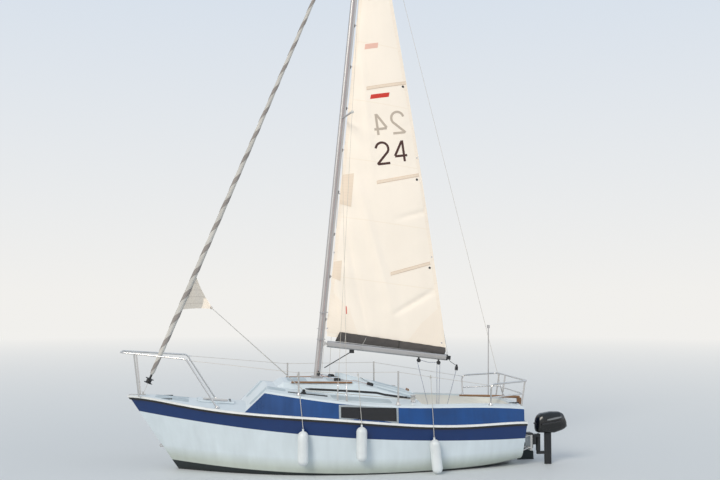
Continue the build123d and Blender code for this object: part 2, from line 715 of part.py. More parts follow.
def make_mainsail(on_boom, cover):
    """Sail with a belly to port: a curved sheet through level sections, cut to the sail's outline."""
    sections = []
    for z, chord, depth in SAIL_SECTIONS:
        x = luff_point(z).X
        skin = []
        for face in (SAIL_THICK / 2, -SAIL_THICK / 2):
            skin.append(ThreePointArc((x, face), (x - chord * 0.45, depth + face), (x - chord, face)))
        ends = [Line(skin[0] @ 0, skin[1] @ 0), Line(skin[0] @ 1, skin[1] @ 1)]
        ring = skin[0].edges() + ends[0].edges() + skin[1].edges() + ends[1].edges()
        sections.append(Plane.XY.offset(z) * make_face(ring))
    sheet = loft(sections, ruled=True)
    head, foot = luff_point(LEECH[2][1] + 20), luff_point(SAIL_TACK_Z)
    leech = ThreePointArc(*LEECH)
    outline = Polyline(
        LEECH[2],
        (head.X - 6, LEECH[2][1] + 40),
        (foot.X - 6, foot.Z),
        on_boom(60, 0.3),
        on_boom(1835, 0.3),
        LEECH[0],
    )
    prism = extrude(side_plane() * make_face(leech.edges() + outline.edges()), amount=300, both=True)
    keep("mainsail", (sheet & prism) - cover)


def make_rails():
    def both_sides(points):
        return list(points) + [(x, -y, z) for x, y, z in reversed(points)]

    hoop = tube_path(both_sides(PULPIT_POINTS), 80, TUBE)
    for side in (1, -1):
        hoop += rod((2800, side * 240, 1683), (2710, side * 190, 940), TUBE)
    keep("pulpit", hoop - SHEER_TOP)

    rail = tube_path(both_sides(PUSHPIT_POINTS), 70, TUBE)
    (foot_x, foot_z), (top_x, top_z) = PUSHPIT_POST
    for y in PUSHPIT_POSTS_Y:
        rail += rod((top_x, y, top_z), (foot_x, y, foot_z), TUBE)
    share = (PUSHPIT_MID_Z - foot_z) / (top_z - foot_z)
    mid_x = foot_x + (top_x - foot_x) * share
    outer_y = PUSHPIT_POSTS_Y[0]
    rail += rod((mid_x, outer_y, PUSHPIT_MID_Z), (mid_x, -outer_y, PUSHPIT_MID_Z), MID_TUBE)
    for side in (1, -1):
        front = (-2310, side * 808, PUSHPIT_MID_Z - 30)
        rail += rod((mid_x, side * outer_y, PUSHPIT_MID_Z), front, MID_TUBE)
    keep("pushpit", rail - RAISED_TOP)

    posts = []
    for x, y, socket_top in STANCHIONS:
        for side in (1, -1):
            post = rod((x, side * y, 800), (x, side * (y + STANCHION_LEAN), STANCHION_TOP), TUBE)
            post += rod((x, side * y, 800), (x, side * (y + 0.5), socket_top), 24)
            posts.append(post - RAISED_TOP)
    keep("stanchions", *posts)

    wires = []
    carriers = posts + [NODES["pulpit"], NODES["pushpit"]]
    for side in (1, -1):
        tops = [(x, side * (y + STANCHION_LEAN), STANCHION_TOP - 15) for x, y, _ in STANCHIONS]
        stops = [(2060, side * 530, 1600), *tops, (-2310, side * 835, 1210)]
        for start, end in zip(stops, stops[1:]):
            wire = rod(start, end, WIRE)
            for piece in carriers:
                wire = wire - piece
            wires.append(wire.solids().sort_by(SortBy.VOLUME)[-1])
    keep("lifelines", *wires)

    x, y, foot, top = LIGHT_POLE
    light = rod((x, y, foot), (x - 12, y - 4, top), 8) - RAISED_TOP
    light += Pos(x - 12, y - 4, top + 10) * Cylinder(22, 50)
    keep("stern_light", light)


def make_deck_gear():
    def cleat(x, y, floor, turn):
        bar = Pos(x, y, floor + CLEAT_HIGH) * (Rot(0, 90, turn) * Cylinder(8, CLEAT_LONG))
        for dx in (-28, 28):
            foot = Pos(x + dx * cos(radians(turn)), y + dx * sin(radians(turn)), floor)
            bar += foot * Box(22, 18, 90)
        return bar

    fore = [cleat(2330, side * 250, 985, -side * 20) - SHEER_TOP for side in (1, -1)]
    aft = [cleat(-2760, side * 480, 870, 0) - RAISED_TOP for side in (1, -1)]
    keep("cleats", *fore, *aft)

    plate = block((2640, 2880), (-28, 28), (900, 1085)) - SHEER_TOP
    cheeks = [block((2800, 2935), (side * 22 - 4, side * 22 + 4), (1000, 1112)) for side in (1, -1)]
    roller = Pos(2905, 0, 1082) * (Rot(90, 0, 0) * Cylinder(20, 36))
    plate += (cheeks[0] + cheeks[1] + roller) - SHEER_TOP - OUTER
    lug = block((2664, 2690), (-4, 4), (1000, 1120)) - SHEER_TOP
    keep("bow_fitting", (plate + lug).solids().sort_by(SortBy.VOLUME)[-1] - NODES["forestay"])

    rails = [rod((560, side * 436, 1262), (-320, side * 502, 1252), GRAB_RADIUS) - ROOF for side in (1, -1)]
    keep("grab_rails", *rails)

    x, y, z, height = WINCH
    drum = Polyline(
        (0, -40), (44, -40), (44, 14), (34, 24), (29, 60), (31, height - 22), (40, height - 14),
        (40, height), (14, height), (14, height - 25), (0, height - 25), close=True,
    )
    drum = revolve(Plane.XZ * make_face(drum.edges()), Axis.Z)
    keep("winches", *[Pos(x, side * y, z) * drum - RAISED_TOP for side in (1, -1)])

    (aft_x, aft_z), (fore_x, fore_z) = TRACK_ENDS
    rise = atan2(fore_z - aft_z, fore_x - aft_x)
    tracks = []
    for side in (1, -1):
        middle = ((aft_x + fore_x) / 2, side * TRACK_Y, (aft_z + fore_z) / 2)
        run = Plane(origin=middle, x_dir=(cos(rise), 0, sin(rise)), z_dir=(-sin(rise), 0, cos(rise)))
        track = run * Box(hypot(fore_x - aft_x, fore_z - aft_z), TRACK_WIDE, TRACK_DEEP)
        track += run * Pos(CAR_SHIFT, 0, TRACK_DEEP / 2 + 8) * Box(*CAR)
        track += run * Pos(CAR_SHIFT, 0, TRACK_DEEP / 2 + 32) * (Rot(90, 0, 0) * Cylinder(*SHEAVE))
        tracks.append(track - RAISED_TOP)
    keep("jib_tracks", *tracks)

    base = Pos(SHEET_BASE_X, 0, WELL_FLOOR + BASE_HIGH / 2) * Cylinder(BASE_RADIUS, BASE_HIGH)
    base += Pos(SHEET_BASE_X, 0, WELL_FLOOR + 35) * Cylinder(16, 40)
    for side in (1, -1):
        base += Pos(SHEET_BASE_X, side * CHEEK_Y, WELL_FLOOR + 85) * Box(*CHEEK)
    base += Pos(SHEET_BASE_X, 0, WELL_FLOOR + 52) * Box(40, 2 * CHEEK_Y + CHEEK[1], 8)
    base += Pos(SHEET_BASE_X, 0, WELL_FLOOR + 95) * (Rot(90, 0, 0) * Cylinder(22, 30))
    keep("sheet_block", base)


def make_fittings():
    keel_x, keel_z = STATIONS[-1][3:5]
    stem_x = keel_x + (EYE_Z - keel_z) * (STATIONS[-1][0] - keel_x) / (STATIONS[-1][2] - keel_z)
    lug = Pos(stem_x + 24, 0, EYE_Z) * (Rot(90, 0, 0) * Cylinder(24, EYE_THICK))
    lug += Pos(stem_x + 2, 0, EYE_Z) * Box(50, EYE_THICK, 48)
    lug -= Pos(stem_x + 26, 0, EYE_Z) * (Rot(90, 0, 0) * Cylinder(EYE_HOLE, 40))
    keep("bow_eye", lug - OUTER)

    fenders = []
    for x, z, lean in FENDERS:
        body = Cylinder(FENDER_RADIUS, FENDER_BARREL)
        for end in (1, -1):
            body += Pos(0, 0, end * FENDER_BARREL / 2) * Sphere(FENDER_RADIUS)
        body += Pos(0, 0, FENDER_BARREL / 2 + FENDER_RADIUS + 8) * Cylinder(*FENDER_EYE)
        fenders.append(Pos(x, fender_y(x, z, lean), z) * (Rot(0, lean, 0) * body))
    keep("fenders", *fenders)


def side_y(x, z):
    """Half beam of the outer hull at a point of its side."""
    hits = OUTER.find_intersection_points(Axis((x, 0, z), (0, 1, 0)))
    return max(point.Y for point, normal in hits)


def fender_y(x, z, lean):
    """Distance off the centreline at which a fender just lies against the hull."""
    reach = []
    for turn in range(-12, 13, 3):
        for share in (-0.5, -0.35, -0.2, 0, 0.2, 0.35, 0.5):
            down = share * FENDER_BARREL
            along = x + FENDER_RADIUS * sin(radians(turn)) + down * sin(radians(lean))
            reach.append(side_y(along, z + down) + FENDER_RADIUS * cos(radians(turn)))
    return max(reach) + FENDER_GAP


def foil(fore, aft, z, thick, y=0.0):
    """Level section of a keel or rudder, with a round nose and a thin tail."""
    chord = fore - aft
    plane = Plane(origin=(fore, y, z), x_dir=(-1, 0, 0), z_dir=(0, 0, -1))
    shoulder = chord * 0.25
    nose = ThreePointArc((shoulder, thick / 2), (0, 0), (shoulder, -thick / 2))
    tail = Polyline((shoulder, -thick / 2), (chord, -FOIL_EDGE), (chord, FOIL_EDGE), (shoulder, thick / 2))
    return plane * make_face(nose.edges() + tail.edges())


def make_rudder():
    head = block((RUDDER_X - 70, RUDDER_X + 12), (-26, 26), (300, RUDDER_TOP))
    blade = loft([foil(fore, aft, z, thick) for fore, aft, z, thick in BLADE_SECTIONS], ruled=True)
    pins, gudgeons = [], []
    for z in GUDGEONS:
        pins.append(Pos(RUDDER_X, 0, z) * Cylinder(PINTLE, 90))
        strap = block((RUDDER_X - 20, -2700), (-24, 24), (z - 12, z + 12)) - OUTER
        strap -= Pos(RUDDER_X, 0, z) * Cylinder(PINTLE + PIN_ROOM, 100)
        gudgeons.append(strap.solids().sort_by(SortBy.VOLUME)[-1])
        pocket = block((RUDDER_X - 40, RUDDER_X + 60), (-60, 60), (z - 18, z + 18))
        head -= pocket
        blade -= pocket
    keep("rudder_head", head + pins[1])
    keep("rudder_blade", blade + pins[0])
    keep("gudgeons", *gudgeons)
    sections = []
    for x, rise, wide, high in TILLER_SECTIONS:
        plane = Plane(origin=(x, 0, RUDDER_TOP + rise), z_dir=(1, 0, 0))
        sections.append(plane * RectangleRounded(wide, high, wide * 0.4))
    arm = loft(sections, ruled=True)
    neck = block((RUDDER_X - 60, RUDDER_X + 4), (-20, 20), (RUDDER_TOP, RUDDER_TOP + 240))
    keep("tiller", arm + neck)


def cross_tube(x, z, radius, length):
    """Round bar across the boat at the motor's centre line."""
    return Pos(x, MOTOR_Y, z) * (Rot(90, 0, 0) * Cylinder(radius, length))


def make_motor():
    bracket = block((-3012, -2980), (MOTOR_Y - BRACKET_HALF, MOTOR_Y + BRACKET_HALF), (220, 450))
    for side in (1, -1):
        for z in (190, 370):
            y = MOTOR_Y + side * 70
            bracket += rod((-2800, y, z), (-2985, y, z + 70), 9) - OUTER
    keep("motor_bracket", bracket.solids().sort_by(SortBy.VOLUME)[-1])

    clamp_y = (MOTOR_Y - CLAMP_HALF, MOTOR_Y + CLAMP_HALF)
    clamp = block((-3036, -3012), clamp_y, (250, 450))
    clamp += block((-3036, -2955), clamp_y, (450, 470))
    for side in (1, -1):
        y = MOTOR_Y + side * (CLAMP_HALF - 9)
        clamp += block((-3085, -3030), (y - 9, y + 9), (300, 450))
    keep("motor_clamp", clamp + cross_tube(TILT_X, TILT_Z, TILT_TUBE, 170))

    bore = Pos(STEER_X, MOTOR_Y, 320) * Cylinder(STEER_SHAFT + PIN_ROOM, 500)
    swivel = Pos(STEER_X, MOTOR_Y, 322) * Cylinder(SWIVEL_RADIUS, 246)
    swivel += block((STEER_X, TILT_X), (MOTOR_Y - 50, MOTOR_Y + 50), (TILT_Z - TILT_BOSS, TILT_Z + TILT_BOSS))
    swivel += cross_tube(TILT_X, TILT_Z, TILT_BOSS, 100)
    keep("motor_swivel", swivel - bore - cross_tube(TILT_X, TILT_Z, TILT_TUBE + PIN_ROOM, 200))
    make_motor_leg()

    cowl = Polyline(*COWL_OUTLINE, close=True)
    cowl = extrude(side_plane(MOTOR_Y) * make_face(cowl.edges()), amount=COWL_HALF, both=True)
    plan = Pos(COWL_MIDDLE, MOTOR_Y, 400) * RectangleRounded(COWL_LONG, 2 * COWL_HALF, COWL_CORNER)
    plan = extrude(plan, amount=500)
    keep("motor_cowl", cowl & plan)

    y = MOTOR_Y + COWL_HALF + 16
    handle = rod((-3150, y, 600), (-3440, y, 640), HANDLE_RADIUS)
    handle += block((-3180, -3150), (y - 41, y + 9), (588, 616))
    keep("motor_handle", handle - NODES["motor_cowl"])
    make_propeller()


def make_motor_leg():
    low, high = LEG_X
    middle = (low + high) / 2
    profile = Pos(middle, MOTOR_Y) * SlotOverall(high - low, LEG_THICK)
    leg = extrude(Plane.XY.offset(PROP_Z) * profile, amount=COWL_BASE - PROP_Z)
    leg += Pos(STEER_X, MOTOR_Y, 305) * Cylinder(STEER_SHAFT, 298)
    leg += block((middle, STEER_X + 20), (MOTOR_Y - 26, MOTOR_Y + 26), (150, 190))
    leg += block((-3430, -3200), (MOTOR_Y - 70, MOTOR_Y + 70), (PROP_Z + 130, PROP_Z + 138))
    leg += Pos(-3275, MOTOR_Y, PROP_Z) * (Rot(0, 90, 0) * Cylinder(GEAR_RADIUS, 200))
    leg += Pos(-3175, MOTOR_Y, PROP_Z) * Sphere(GEAR_RADIUS)
    skeg = loft([foil(fore, aft, PROP_Z + drop, thick, MOTOR_Y) for fore, aft, drop, thick in SKEG_SECTIONS])
    keep("motor_leg", leg + skeg)


def make_propeller():
    """Three twisted blades, each lofted through sections on planes square to its radius."""
    prop = Rot(0, 90, 0) * Cylinder(HUB_RADIUS, HUB_LENGTH)
    sections = []
    for radius, chord, thick, pitch in PROP_SECTIONS:
        across = (sin(radians(pitch)), cos(radians(pitch)), 0)
        plane = Plane(origin=(0, 0, radius), x_dir=across, z_dir=(0, 0, 1))
        front = ThreePointArc((-chord / 2, 0), (0, thick / 2), (chord / 2, 0))
        back = ThreePointArc((-chord / 2, 0), (0, -thick / 2), (chord / 2, 0))
        sections.append(plane * make_face(front.edges() + back.edges()))
    blade = loft(sections)
    for k in range(BLADES):
        prop += Rot(k * 360 / BLADES, 0, 0) * blade
    keep("propeller", Pos(PROP_X, MOTOR_Y, PROP_Z) * prop)


make_hull()
make_deck()
make_cockpit()
make_cabin()
make_windows()
make_hatches()
make_mast()
make_boom()
make_rails()
make_deck_gear()
make_fittings()
make_rudder()
make_motor()
for name, piece in NODES.items():
    print(name, piece.is_valid, len(piece.solids()), round(piece.volume / 1e6, 2))
    export_step(piece, f"parts/{name}.step")
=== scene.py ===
# %% [markdown]
# A small cabin sailing boat, afloat. The hull, deck, mast, motor and everything that moves come from the
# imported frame, in metres, with +X to the bow, +Y to port and the origin on the waterline amidships. This
# file gives those pieces their finish, and makes the cloth, the ropes and the small gear that a boat
# carries.
# %% Load the frame
import json
from math import atan2, cos, exp, hypot, pi, radians, sin

import bmesh
import bpy
from mathutils import Matrix, Vector, noise
from mathutils.bvhtree import BVHTree


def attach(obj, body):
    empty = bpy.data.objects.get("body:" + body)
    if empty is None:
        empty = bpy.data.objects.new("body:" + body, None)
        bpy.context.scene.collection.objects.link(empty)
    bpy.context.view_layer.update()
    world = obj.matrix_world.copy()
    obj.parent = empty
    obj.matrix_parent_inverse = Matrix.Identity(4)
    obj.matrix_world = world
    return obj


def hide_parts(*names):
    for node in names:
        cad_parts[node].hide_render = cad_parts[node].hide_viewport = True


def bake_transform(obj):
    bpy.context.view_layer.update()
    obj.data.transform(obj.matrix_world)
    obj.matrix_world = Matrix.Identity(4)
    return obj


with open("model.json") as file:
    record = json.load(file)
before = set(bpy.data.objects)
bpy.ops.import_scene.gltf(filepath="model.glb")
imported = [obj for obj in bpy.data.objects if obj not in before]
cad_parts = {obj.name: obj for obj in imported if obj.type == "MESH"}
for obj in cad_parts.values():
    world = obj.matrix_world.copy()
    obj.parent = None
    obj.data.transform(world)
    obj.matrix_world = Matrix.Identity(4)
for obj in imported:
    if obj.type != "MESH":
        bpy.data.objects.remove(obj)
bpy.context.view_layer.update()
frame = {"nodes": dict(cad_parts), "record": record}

scene = bpy.context.scene
NODES = frame["nodes"]

# %% [markdown]
# The camera stands on a jetty or another boat, at about 2.5 m over the water and 15 m off. It looks at the
# port side from a little forward of square, and tips up slightly, because the mast stands far higher than
# the deck. A level lens with a shift would also do, but a real hand-held camera tips.
# %% Camera
CAMERA_PLACE = (1.853, 14.945, 2.55)
HEADING = radians(9.0)
TIP_UP = radians(3.034)
LENS = 50.0

camera_data = bpy.data.cameras.new("camera")
camera_data.lens = LENS
camera_data.sensor_width = 36.0
camera = bpy.data.objects.new("camera", camera_data)
camera.location = CAMERA_PLACE
camera.rotation_euler = (pi / 2 + TIP_UP, 0, pi - HEADING)
scene.collection.objects.link(camera)
scene.camera = camera
scene.view_settings.view_transform = "Standard"
print("camera", LENS, "mm at", CAMERA_PLACE)

# %% [markdown]
# The light is that of a photographer's studio: an even pale room, one large warm lamp to the left of the
# camera and a weak cool one on the other side. The sun lamp has a wide angle, so that shadows have soft
# edges. The room is warm and pale at the horizon and cooler overhead, which the camera and reflections see.
# A weaker, even colour lights the boat.
# %% Room and lamps
HORIZON = (0.88, 0.87, 0.845, 1)
OVERHEAD = (0.60, 0.70, 0.83, 1)
ROOM_LIGHT = (0.50, 0.54, 0.60, 1)
OVERHEAD_FROM = 0.42


def seen_directly(tree):
    """A mask of 1 for what the camera, a mirror or glass sees, and 0 for what lights the boat."""
    path = tree.nodes.new("ShaderNodeLightPath")
    first = tree.nodes.new("ShaderNodeMath")
    first.operation = "MAXIMUM"
    tree.links.new(path.outputs["Is Camera Ray"], first.inputs[0])
    tree.links.new(path.outputs["Is Glossy Ray"], first.inputs[1])
    both = tree.nodes.new("ShaderNodeMath")
    both.operation = "MAXIMUM"
    tree.links.new(first.outputs[0], both.inputs[0])
    tree.links.new(path.outputs["Is Transmission Ray"], both.inputs[1])
    return both.outputs[0]


world = bpy.data.worlds.new("studio room")
scene.world = world
world.use_nodes = True
tree = world.node_tree
background = tree.nodes["Background"]
room = tree.nodes.new("ShaderNodeMix")
room.data_type = "RGBA"
room.inputs["A"].default_value = ROOM_LIGHT
aim = tree.nodes.new("ShaderNodeTexCoord")
height = tree.nodes.new("ShaderNodeSeparateXYZ")
rise = tree.nodes.new("ShaderNodeMapRange")
rise.inputs["From Max"].default_value = OVERHEAD_FROM
dome = tree.nodes.new("ShaderNodeMix")
dome.data_type = "RGBA"
dome.inputs["A"].default_value = HORIZON
dome.inputs["B"].default_value = OVERHEAD
tree.links.new(aim.outputs["Generated"], height.inputs["Vector"])
tree.links.new(height.outputs["Z"], rise.inputs["Value"])
tree.links.new(rise.outputs["Result"], dome.inputs["Factor"])
tree.links.new(dome.outputs["Result"], room.inputs["B"])
tree.links.new(seen_directly(tree), room.inputs["Factor"])
tree.links.new(room.outputs["Result"], background.inputs["Color"])


def lamp(name, towards, strength, colour, spread):
    """A sun lamp that shines from a direction given as a vector from the boat to the lamp."""
    data = bpy.data.lights.new(name, "SUN")
    data.energy = strength
    data.color = colour
    data.angle = radians(spread)
    item = bpy.data.objects.new(name, data)
    item.rotation_euler = Vector(towards).to_track_quat("Z", "Y").to_euler()
    scene.collection.objects.link(item)


lamp("key", (0.75, 1.0, 0.8), 1.75, (1.0, 0.93, 0.82), 25)
lamp("fill", (-1.0, 0.5, 0.5), 0.35, (0.85, 0.92, 1.0), 40)

# %% [markdown]
# The floor stands in for the water, so it is level with the waterline. A floor that ran on inside the hull
# would show through the cabin windows, so it has a hole there, a little smaller than the hull at that
# height: rays from the side find the hull's width at the waterline. Far from the boat the floor turns into
# the colour of the room, which hides its edge.
# %% Rays
def surface_of(*meshes):
    """A search tree over one or more meshes, for rays."""
    points, faces = [], []
    for mesh in meshes:
        start = len(points)
        points += [tuple(v.co) for v in mesh.vertices]
        faces += [tuple(start + i for i in f.vertices) for f in mesh.polygons]
    return BVHTree.FromPolygons(points, faces)


def ray(surface, start, aim):
    """Where a ray first meets a surface, and the surface's direction there."""
    return surface.ray_cast(Vector(start), Vector(aim))[:2]


# %% Floor
FLOOR_HALF = 160.0
FLOOR_NEAR = (0.66, 0.69, 0.70, 1)
FADE_FROM = 5.0
FADE_TO = 45.0
HOLE_XS = (-1.7, -1.2, -0.4, 0.4, 1.2, 1.8)
HOLE_MARGIN = 0.06

hull_surface = surface_of(NODES["hull_shell"].data)
HULL_HOLE = []
for x in HOLE_XS:
    spot = ray(hull_surface, (x, 2, 0.001), (0, -1, 0))[0]
    HULL_HOLE.append((x, max(0.02, spot.y - HOLE_MARGIN)))
ring = HULL_HOLE + [(x, -y) for x, y in reversed(HULL_HOLE)]
outer = [(x, FLOOR_HALF) for x in (-FLOOR_HALF, *HOLE_XS[1:-1], FLOOR_HALF)]
outer += [(x, -y) for x, y in reversed(outer)]
floor_mesh = bpy.data.meshes.new("floor")
corners = [(x, y, 0) for x, y in ring + outer]
count = len(ring)
faces = [(k, (k + 1) % count, count + (k + 1) % count, count + k) for k in range(count)]
floor_mesh.from_pydata(corners, [], faces)
floor = bpy.data.objects.new("floor", floor_mesh)
scene.collection.objects.link(floor)

floor_finish = bpy.data.materials.new("pale floor")
floor_finish.use_nodes = True
tree = floor_finish.node_tree
shader = tree.nodes["Principled BSDF"]
shader.inputs["Roughness"].default_value = 0.6
shader.inputs["Base Color"].default_value = FLOOR_NEAR
place = tree.nodes.new("ShaderNodeTexCoord")
reach = tree.nodes.new("ShaderNodeVectorMath")
reach.operation = "LENGTH"
fade = tree.nodes.new("ShaderNodeMapRange")
fade.inputs["From Min"].default_value = FADE_FROM
fade.inputs["From Max"].default_value = FADE_TO
glow = tree.nodes.new("ShaderNodeEmission")
glow.inputs["Color"].default_value = HORIZON
mixed = tree.nodes.new("ShaderNodeMixShader")
tree.links.new(place.outputs["Object"], reach.inputs[0])
tree.links.new(reach.outputs["Value"], fade.inputs["Value"])
tree.links.new(fade.outputs["Result"], mixed.inputs["Fac"])
tree.links.new(shader.outputs["BSDF"], mixed.inputs[1])
tree.links.new(glow.outputs["Emission"], mixed.inputs[2])
tree.links.new(mixed.outputs["Shader"], tree.nodes["Material Output"].inputs["Surface"])
floor_mesh.materials.append(floor_finish)
print("floor with", count, "faces round the hull")

# %% [markdown]
# A finish is more than one colour. On a boat the same few things happen to every surface: the sun bleaches
# it in soft patches, rain leaves streaks that run down, and the surface has a fine grain. Each is a node
# group here, made once, with its own inputs, so that every material can use it with its own values.
# %% Helpers for node groups
def new_group(name, ins, outs):
    """A shader node group with named inputs (name, kind, value) and outputs (name, kind)."""
    group = bpy.data.node_groups.new(name, "ShaderNodeTree")
    for label, kind, value in ins:
        socket = group.interface.new_socket(label, in_out="INPUT", socket_type=kind)
        socket.default_value = value
    for label, kind in outs:
        group.interface.new_socket(label, in_out="OUTPUT", socket_type=kind)
    return group, group.nodes.new("NodeGroupInput"), group.nodes.new("NodeGroupOutput")


def add(tree, kind, **settings):
    """A node with its settings; a setting whose name is an input's sets that input."""
    node = tree.nodes.new(kind)
    for key, value in settings.items():
        if hasattr(node, key):
            setattr(node, key, value)
        else:
            node.inputs[key.replace("_", " ")].default_value = value
    return node


def maths(tree, operation, first, second=None):
    """A maths node; an operand is a number or a socket."""
    node = tree.nodes.new("ShaderNodeMath")
    node.operation = operation
    for k, value in enumerate((first, second)):
        if value is None:
            continue
        if isinstance(value, (int, float)):
            node.inputs[k].default_value = value
        else:
            tree.links.new(value, node.inputs[k])
    return node.outputs[0]


def axes(tree, own_map=False):
    """A node that splits Object coordinates, or the piece's own map, into X, Y and Z."""
    if own_map:
        place = add(tree, "ShaderNodeUVMap", uv_map="UVMap").outputs["UV"]
    else:
        place = add(tree, "ShaderNodeTexCoord").outputs["Object"]
    split = add(tree, "ShaderNodeSeparateXYZ")
    tree.links.new(place, split.inputs["Vector"])
    return split


def stretched(tree, factors):
    """Object coordinates multiplied by a factor on each axis."""
    place = add(tree, "ShaderNodeTexCoord")
    mapping = add(tree, "ShaderNodeMapping")
    mapping.inputs["Scale"].default_value = factors
    tree.links.new(place.outputs["Object"], mapping.inputs["Vector"])
    return mapping.outputs["Vector"]


# %% Weathering group
FLOAT = "NodeSocketFloat"
COLOUR = "NodeSocketColor"

weathering, ins, outs = new_group(
    "weathering",
    [("Colour", COLOUR, (1, 1, 1, 1)), ("Patches", FLOAT, 0.1), ("Streaks", FLOAT, 0.1),
     ("Scale", FLOAT, 1.0)],
    [("Colour", COLOUR), ("Mask", FLOAT)],
)
soft = add(weathering, "ShaderNodeTexNoise", Scale=2.2, Detail=5.0)
weathering.links.new(stretched(weathering, (1, 1, 1)), soft.inputs["Vector"])
runs = add(weathering, "ShaderNodeTexNoise", Scale=9.0, Detail=6.0)
weathering.links.new(stretched(weathering, (1, 1, 0.09)), runs.inputs["Vector"])
for spots in (soft, runs):
    own_scale = spots.inputs["Scale"].default_value
    fitted = maths(weathering, "MULTIPLY", ins.outputs["Scale"], own_scale)
    weathering.links.new(fitted, spots.inputs["Scale"])
uneven = maths(weathering, "SUBTRACT", soft.outputs["Fac"], 0.5)
patchy = maths(weathering, "MULTIPLY", uneven, ins.outputs["Patches"])
run_off = maths(weathering, "SUBTRACT", runs.outputs["Fac"], 0.55)
streaky = maths(weathering, "MULTIPLY", run_off, ins.outputs["Streaks"])
total = maths(weathering, "ADD", patchy, streaky)
lightness = maths(weathering, "ADD", maths(weathering, "MULTIPLY", total, 2.0), 1.0)
tinted = add(weathering, "ShaderNodeMix", data_type="RGBA", blend_type="MULTIPLY")
tinted.inputs["Factor"].default_value = 1.0
weathering.links.new(ins.outputs["Colour"], tinted.inputs["A"])
grey = add(weathering, "ShaderNodeCombineColor")
for label in ("Red", "Green", "Blue"):
    weathering.links.new(lightness, grey.inputs[label])
weathering.links.new(grey.outputs["Color"], tinted.inputs["B"])
weathering.links.new(tinted.outputs["Result"], outs.inputs["Colour"])
weathering.links.new(total, outs.inputs["Mask"])
print("group", weathering.name)

# %% Grain group
grain, ins, outs = new_group(
    "grain",
    [("Scale", FLOAT, 400.0), ("Along X", FLOAT, 1.0), ("Along Z", FLOAT, 1.0)],
    [("Height", FLOAT)],
)
split = axes(grain)
drawn_out = add(grain, "ShaderNodeCombineXYZ")
for axis in ("X", "Z"):
    factor = ins.outputs["Along " + axis]
    grain.links.new(maths(grain, "MULTIPLY", split.outputs[axis], factor), drawn_out.inputs[axis])
grain.links.new(split.outputs["Y"], drawn_out.inputs["Y"])
speck = add(grain, "ShaderNodeTexNoise", Detail=3.0)
grain.links.new(drawn_out.outputs["Vector"], speck.inputs["Vector"])
grain.links.new(ins.outputs["Scale"], speck.inputs["Scale"])
grain.links.new(speck.outputs["Fac"], outs.inputs["Height"])
print("group", grain.name)

# %% [markdown]
# Paint lines on a hull are curves, because the sheer rises to the bow. Each line's height is a quadratic of
# the distance along the boat, and the group says how far a point lies above its line. The material turns
# that into an edge a few millimetres wide. Painting by vertex colour would need a fine mesh, and this stays
# sharp at any size.
# %% Paint line group
paint_line, ins, outs = new_group(
    "paint line",
    [("Height", FLOAT, 0.5), ("Slope", FLOAT, 0.0), ("Curve", FLOAT, 0.0), ("Softness", FLOAT, 0.004)],
    [("Above", FLOAT)],
)
split = axes(paint_line)
along = split.outputs["X"]
curved = maths(paint_line, "MULTIPLY", along, ins.outputs["Curve"])
rise = maths(paint_line, "ADD", ins.outputs["Slope"], curved)
line = maths(paint_line, "ADD", ins.outputs["Height"], maths(paint_line, "MULTIPLY", along, rise))
gap = maths(paint_line, "SUBTRACT", split.outputs["Z"], line)
edge = maths(paint_line, "ADD", maths(paint_line, "DIVIDE", gap, ins.outputs["Softness"]), 0.5)
clamp = add(paint_line, "ShaderNodeClamp")
paint_line.links.new(edge, clamp.inputs["Value"])
paint_line.links.new(clamp.outputs["Result"], outs.inputs["Above"])
print("group", paint_line.name)


# %% [markdown]
# Every material starts the same way: a base colour that goes through the weathering group, a roughness that
# the same mask shifts a little, and a fine bump. The constants that are the same all over, such as metal or
# coat, are set on the shader itself.
# %% Base finish
def place_group(tree, group, **values):
    """One use of a node group, with its own values."""
    node = tree.nodes.new("ShaderNodeGroup")
    node.node_tree = group
    for key, value in values.items():
        node.inputs[key.replace("_", " ")].default_value = value
    return node


def bumped(tree, height, strength, distance):
    """Raises a material's surface by a height that changes over it."""
    relief = add(tree, "ShaderNodeBump", Strength=strength, Distance=distance)
    tree.links.new(height, relief.inputs["Height"])
    tree.links.new(relief.outputs["Normal"], tree.nodes["Principled BSDF"].inputs["Normal"])


def recoloured(tree, colour):
    """Puts a colour that changes over the surface in front of a finish's weathering."""
    aged = next(n for n in tree.nodes if n.type == "GROUP" and n.node_tree == weathering)
    tree.links.new(colour, aged.inputs["Colour"])


def finish(name, colour, roughness, patches=0.08, streaks=0.0, scale=1.0, bump=0.0, grain_scale=300.0,
           grain_x=1.0, grain_z=1.0, metal=0.0, coat=0.0, spread=0.25):
    """A material with weathering, uneven gloss and a grain."""
    material = bpy.data.materials.new(name)
    material.use_nodes = True
    tree = material.node_tree
    shader = tree.nodes["Principled BSDF"]
    shader.inputs["Metallic"].default_value = metal
    shader.inputs["Coat Weight"].default_value = coat
    aged = place_group(tree, weathering, Colour=(*colour, 1), Patches=patches, Streaks=streaks, Scale=scale)
    tree.links.new(aged.outputs["Colour"], shader.inputs["Base Color"])
    dull = maths(tree, "ADD", maths(tree, "MULTIPLY", aged.outputs["Mask"], spread * 4), roughness)
    tree.links.new(dull, shader.inputs["Roughness"])
    if bump:
        fine = place_group(tree, grain, Scale=grain_scale, Along_X=grain_x, Along_Z=grain_z)
        bumped(tree, fine.outputs["Height"], bump, 0.001)
    return material


# %% Plain finishes
DEEP_BLUE = (0.001, 0.026, 0.125)
SIDE_BLUE = (0.001, 0.056, 0.22)
# The gelcoat white is tinted blue grey and a little dark: painted shade. The hull and the deck both use it.
SHADED_WHITE = (0.66, 0.735, 0.775)

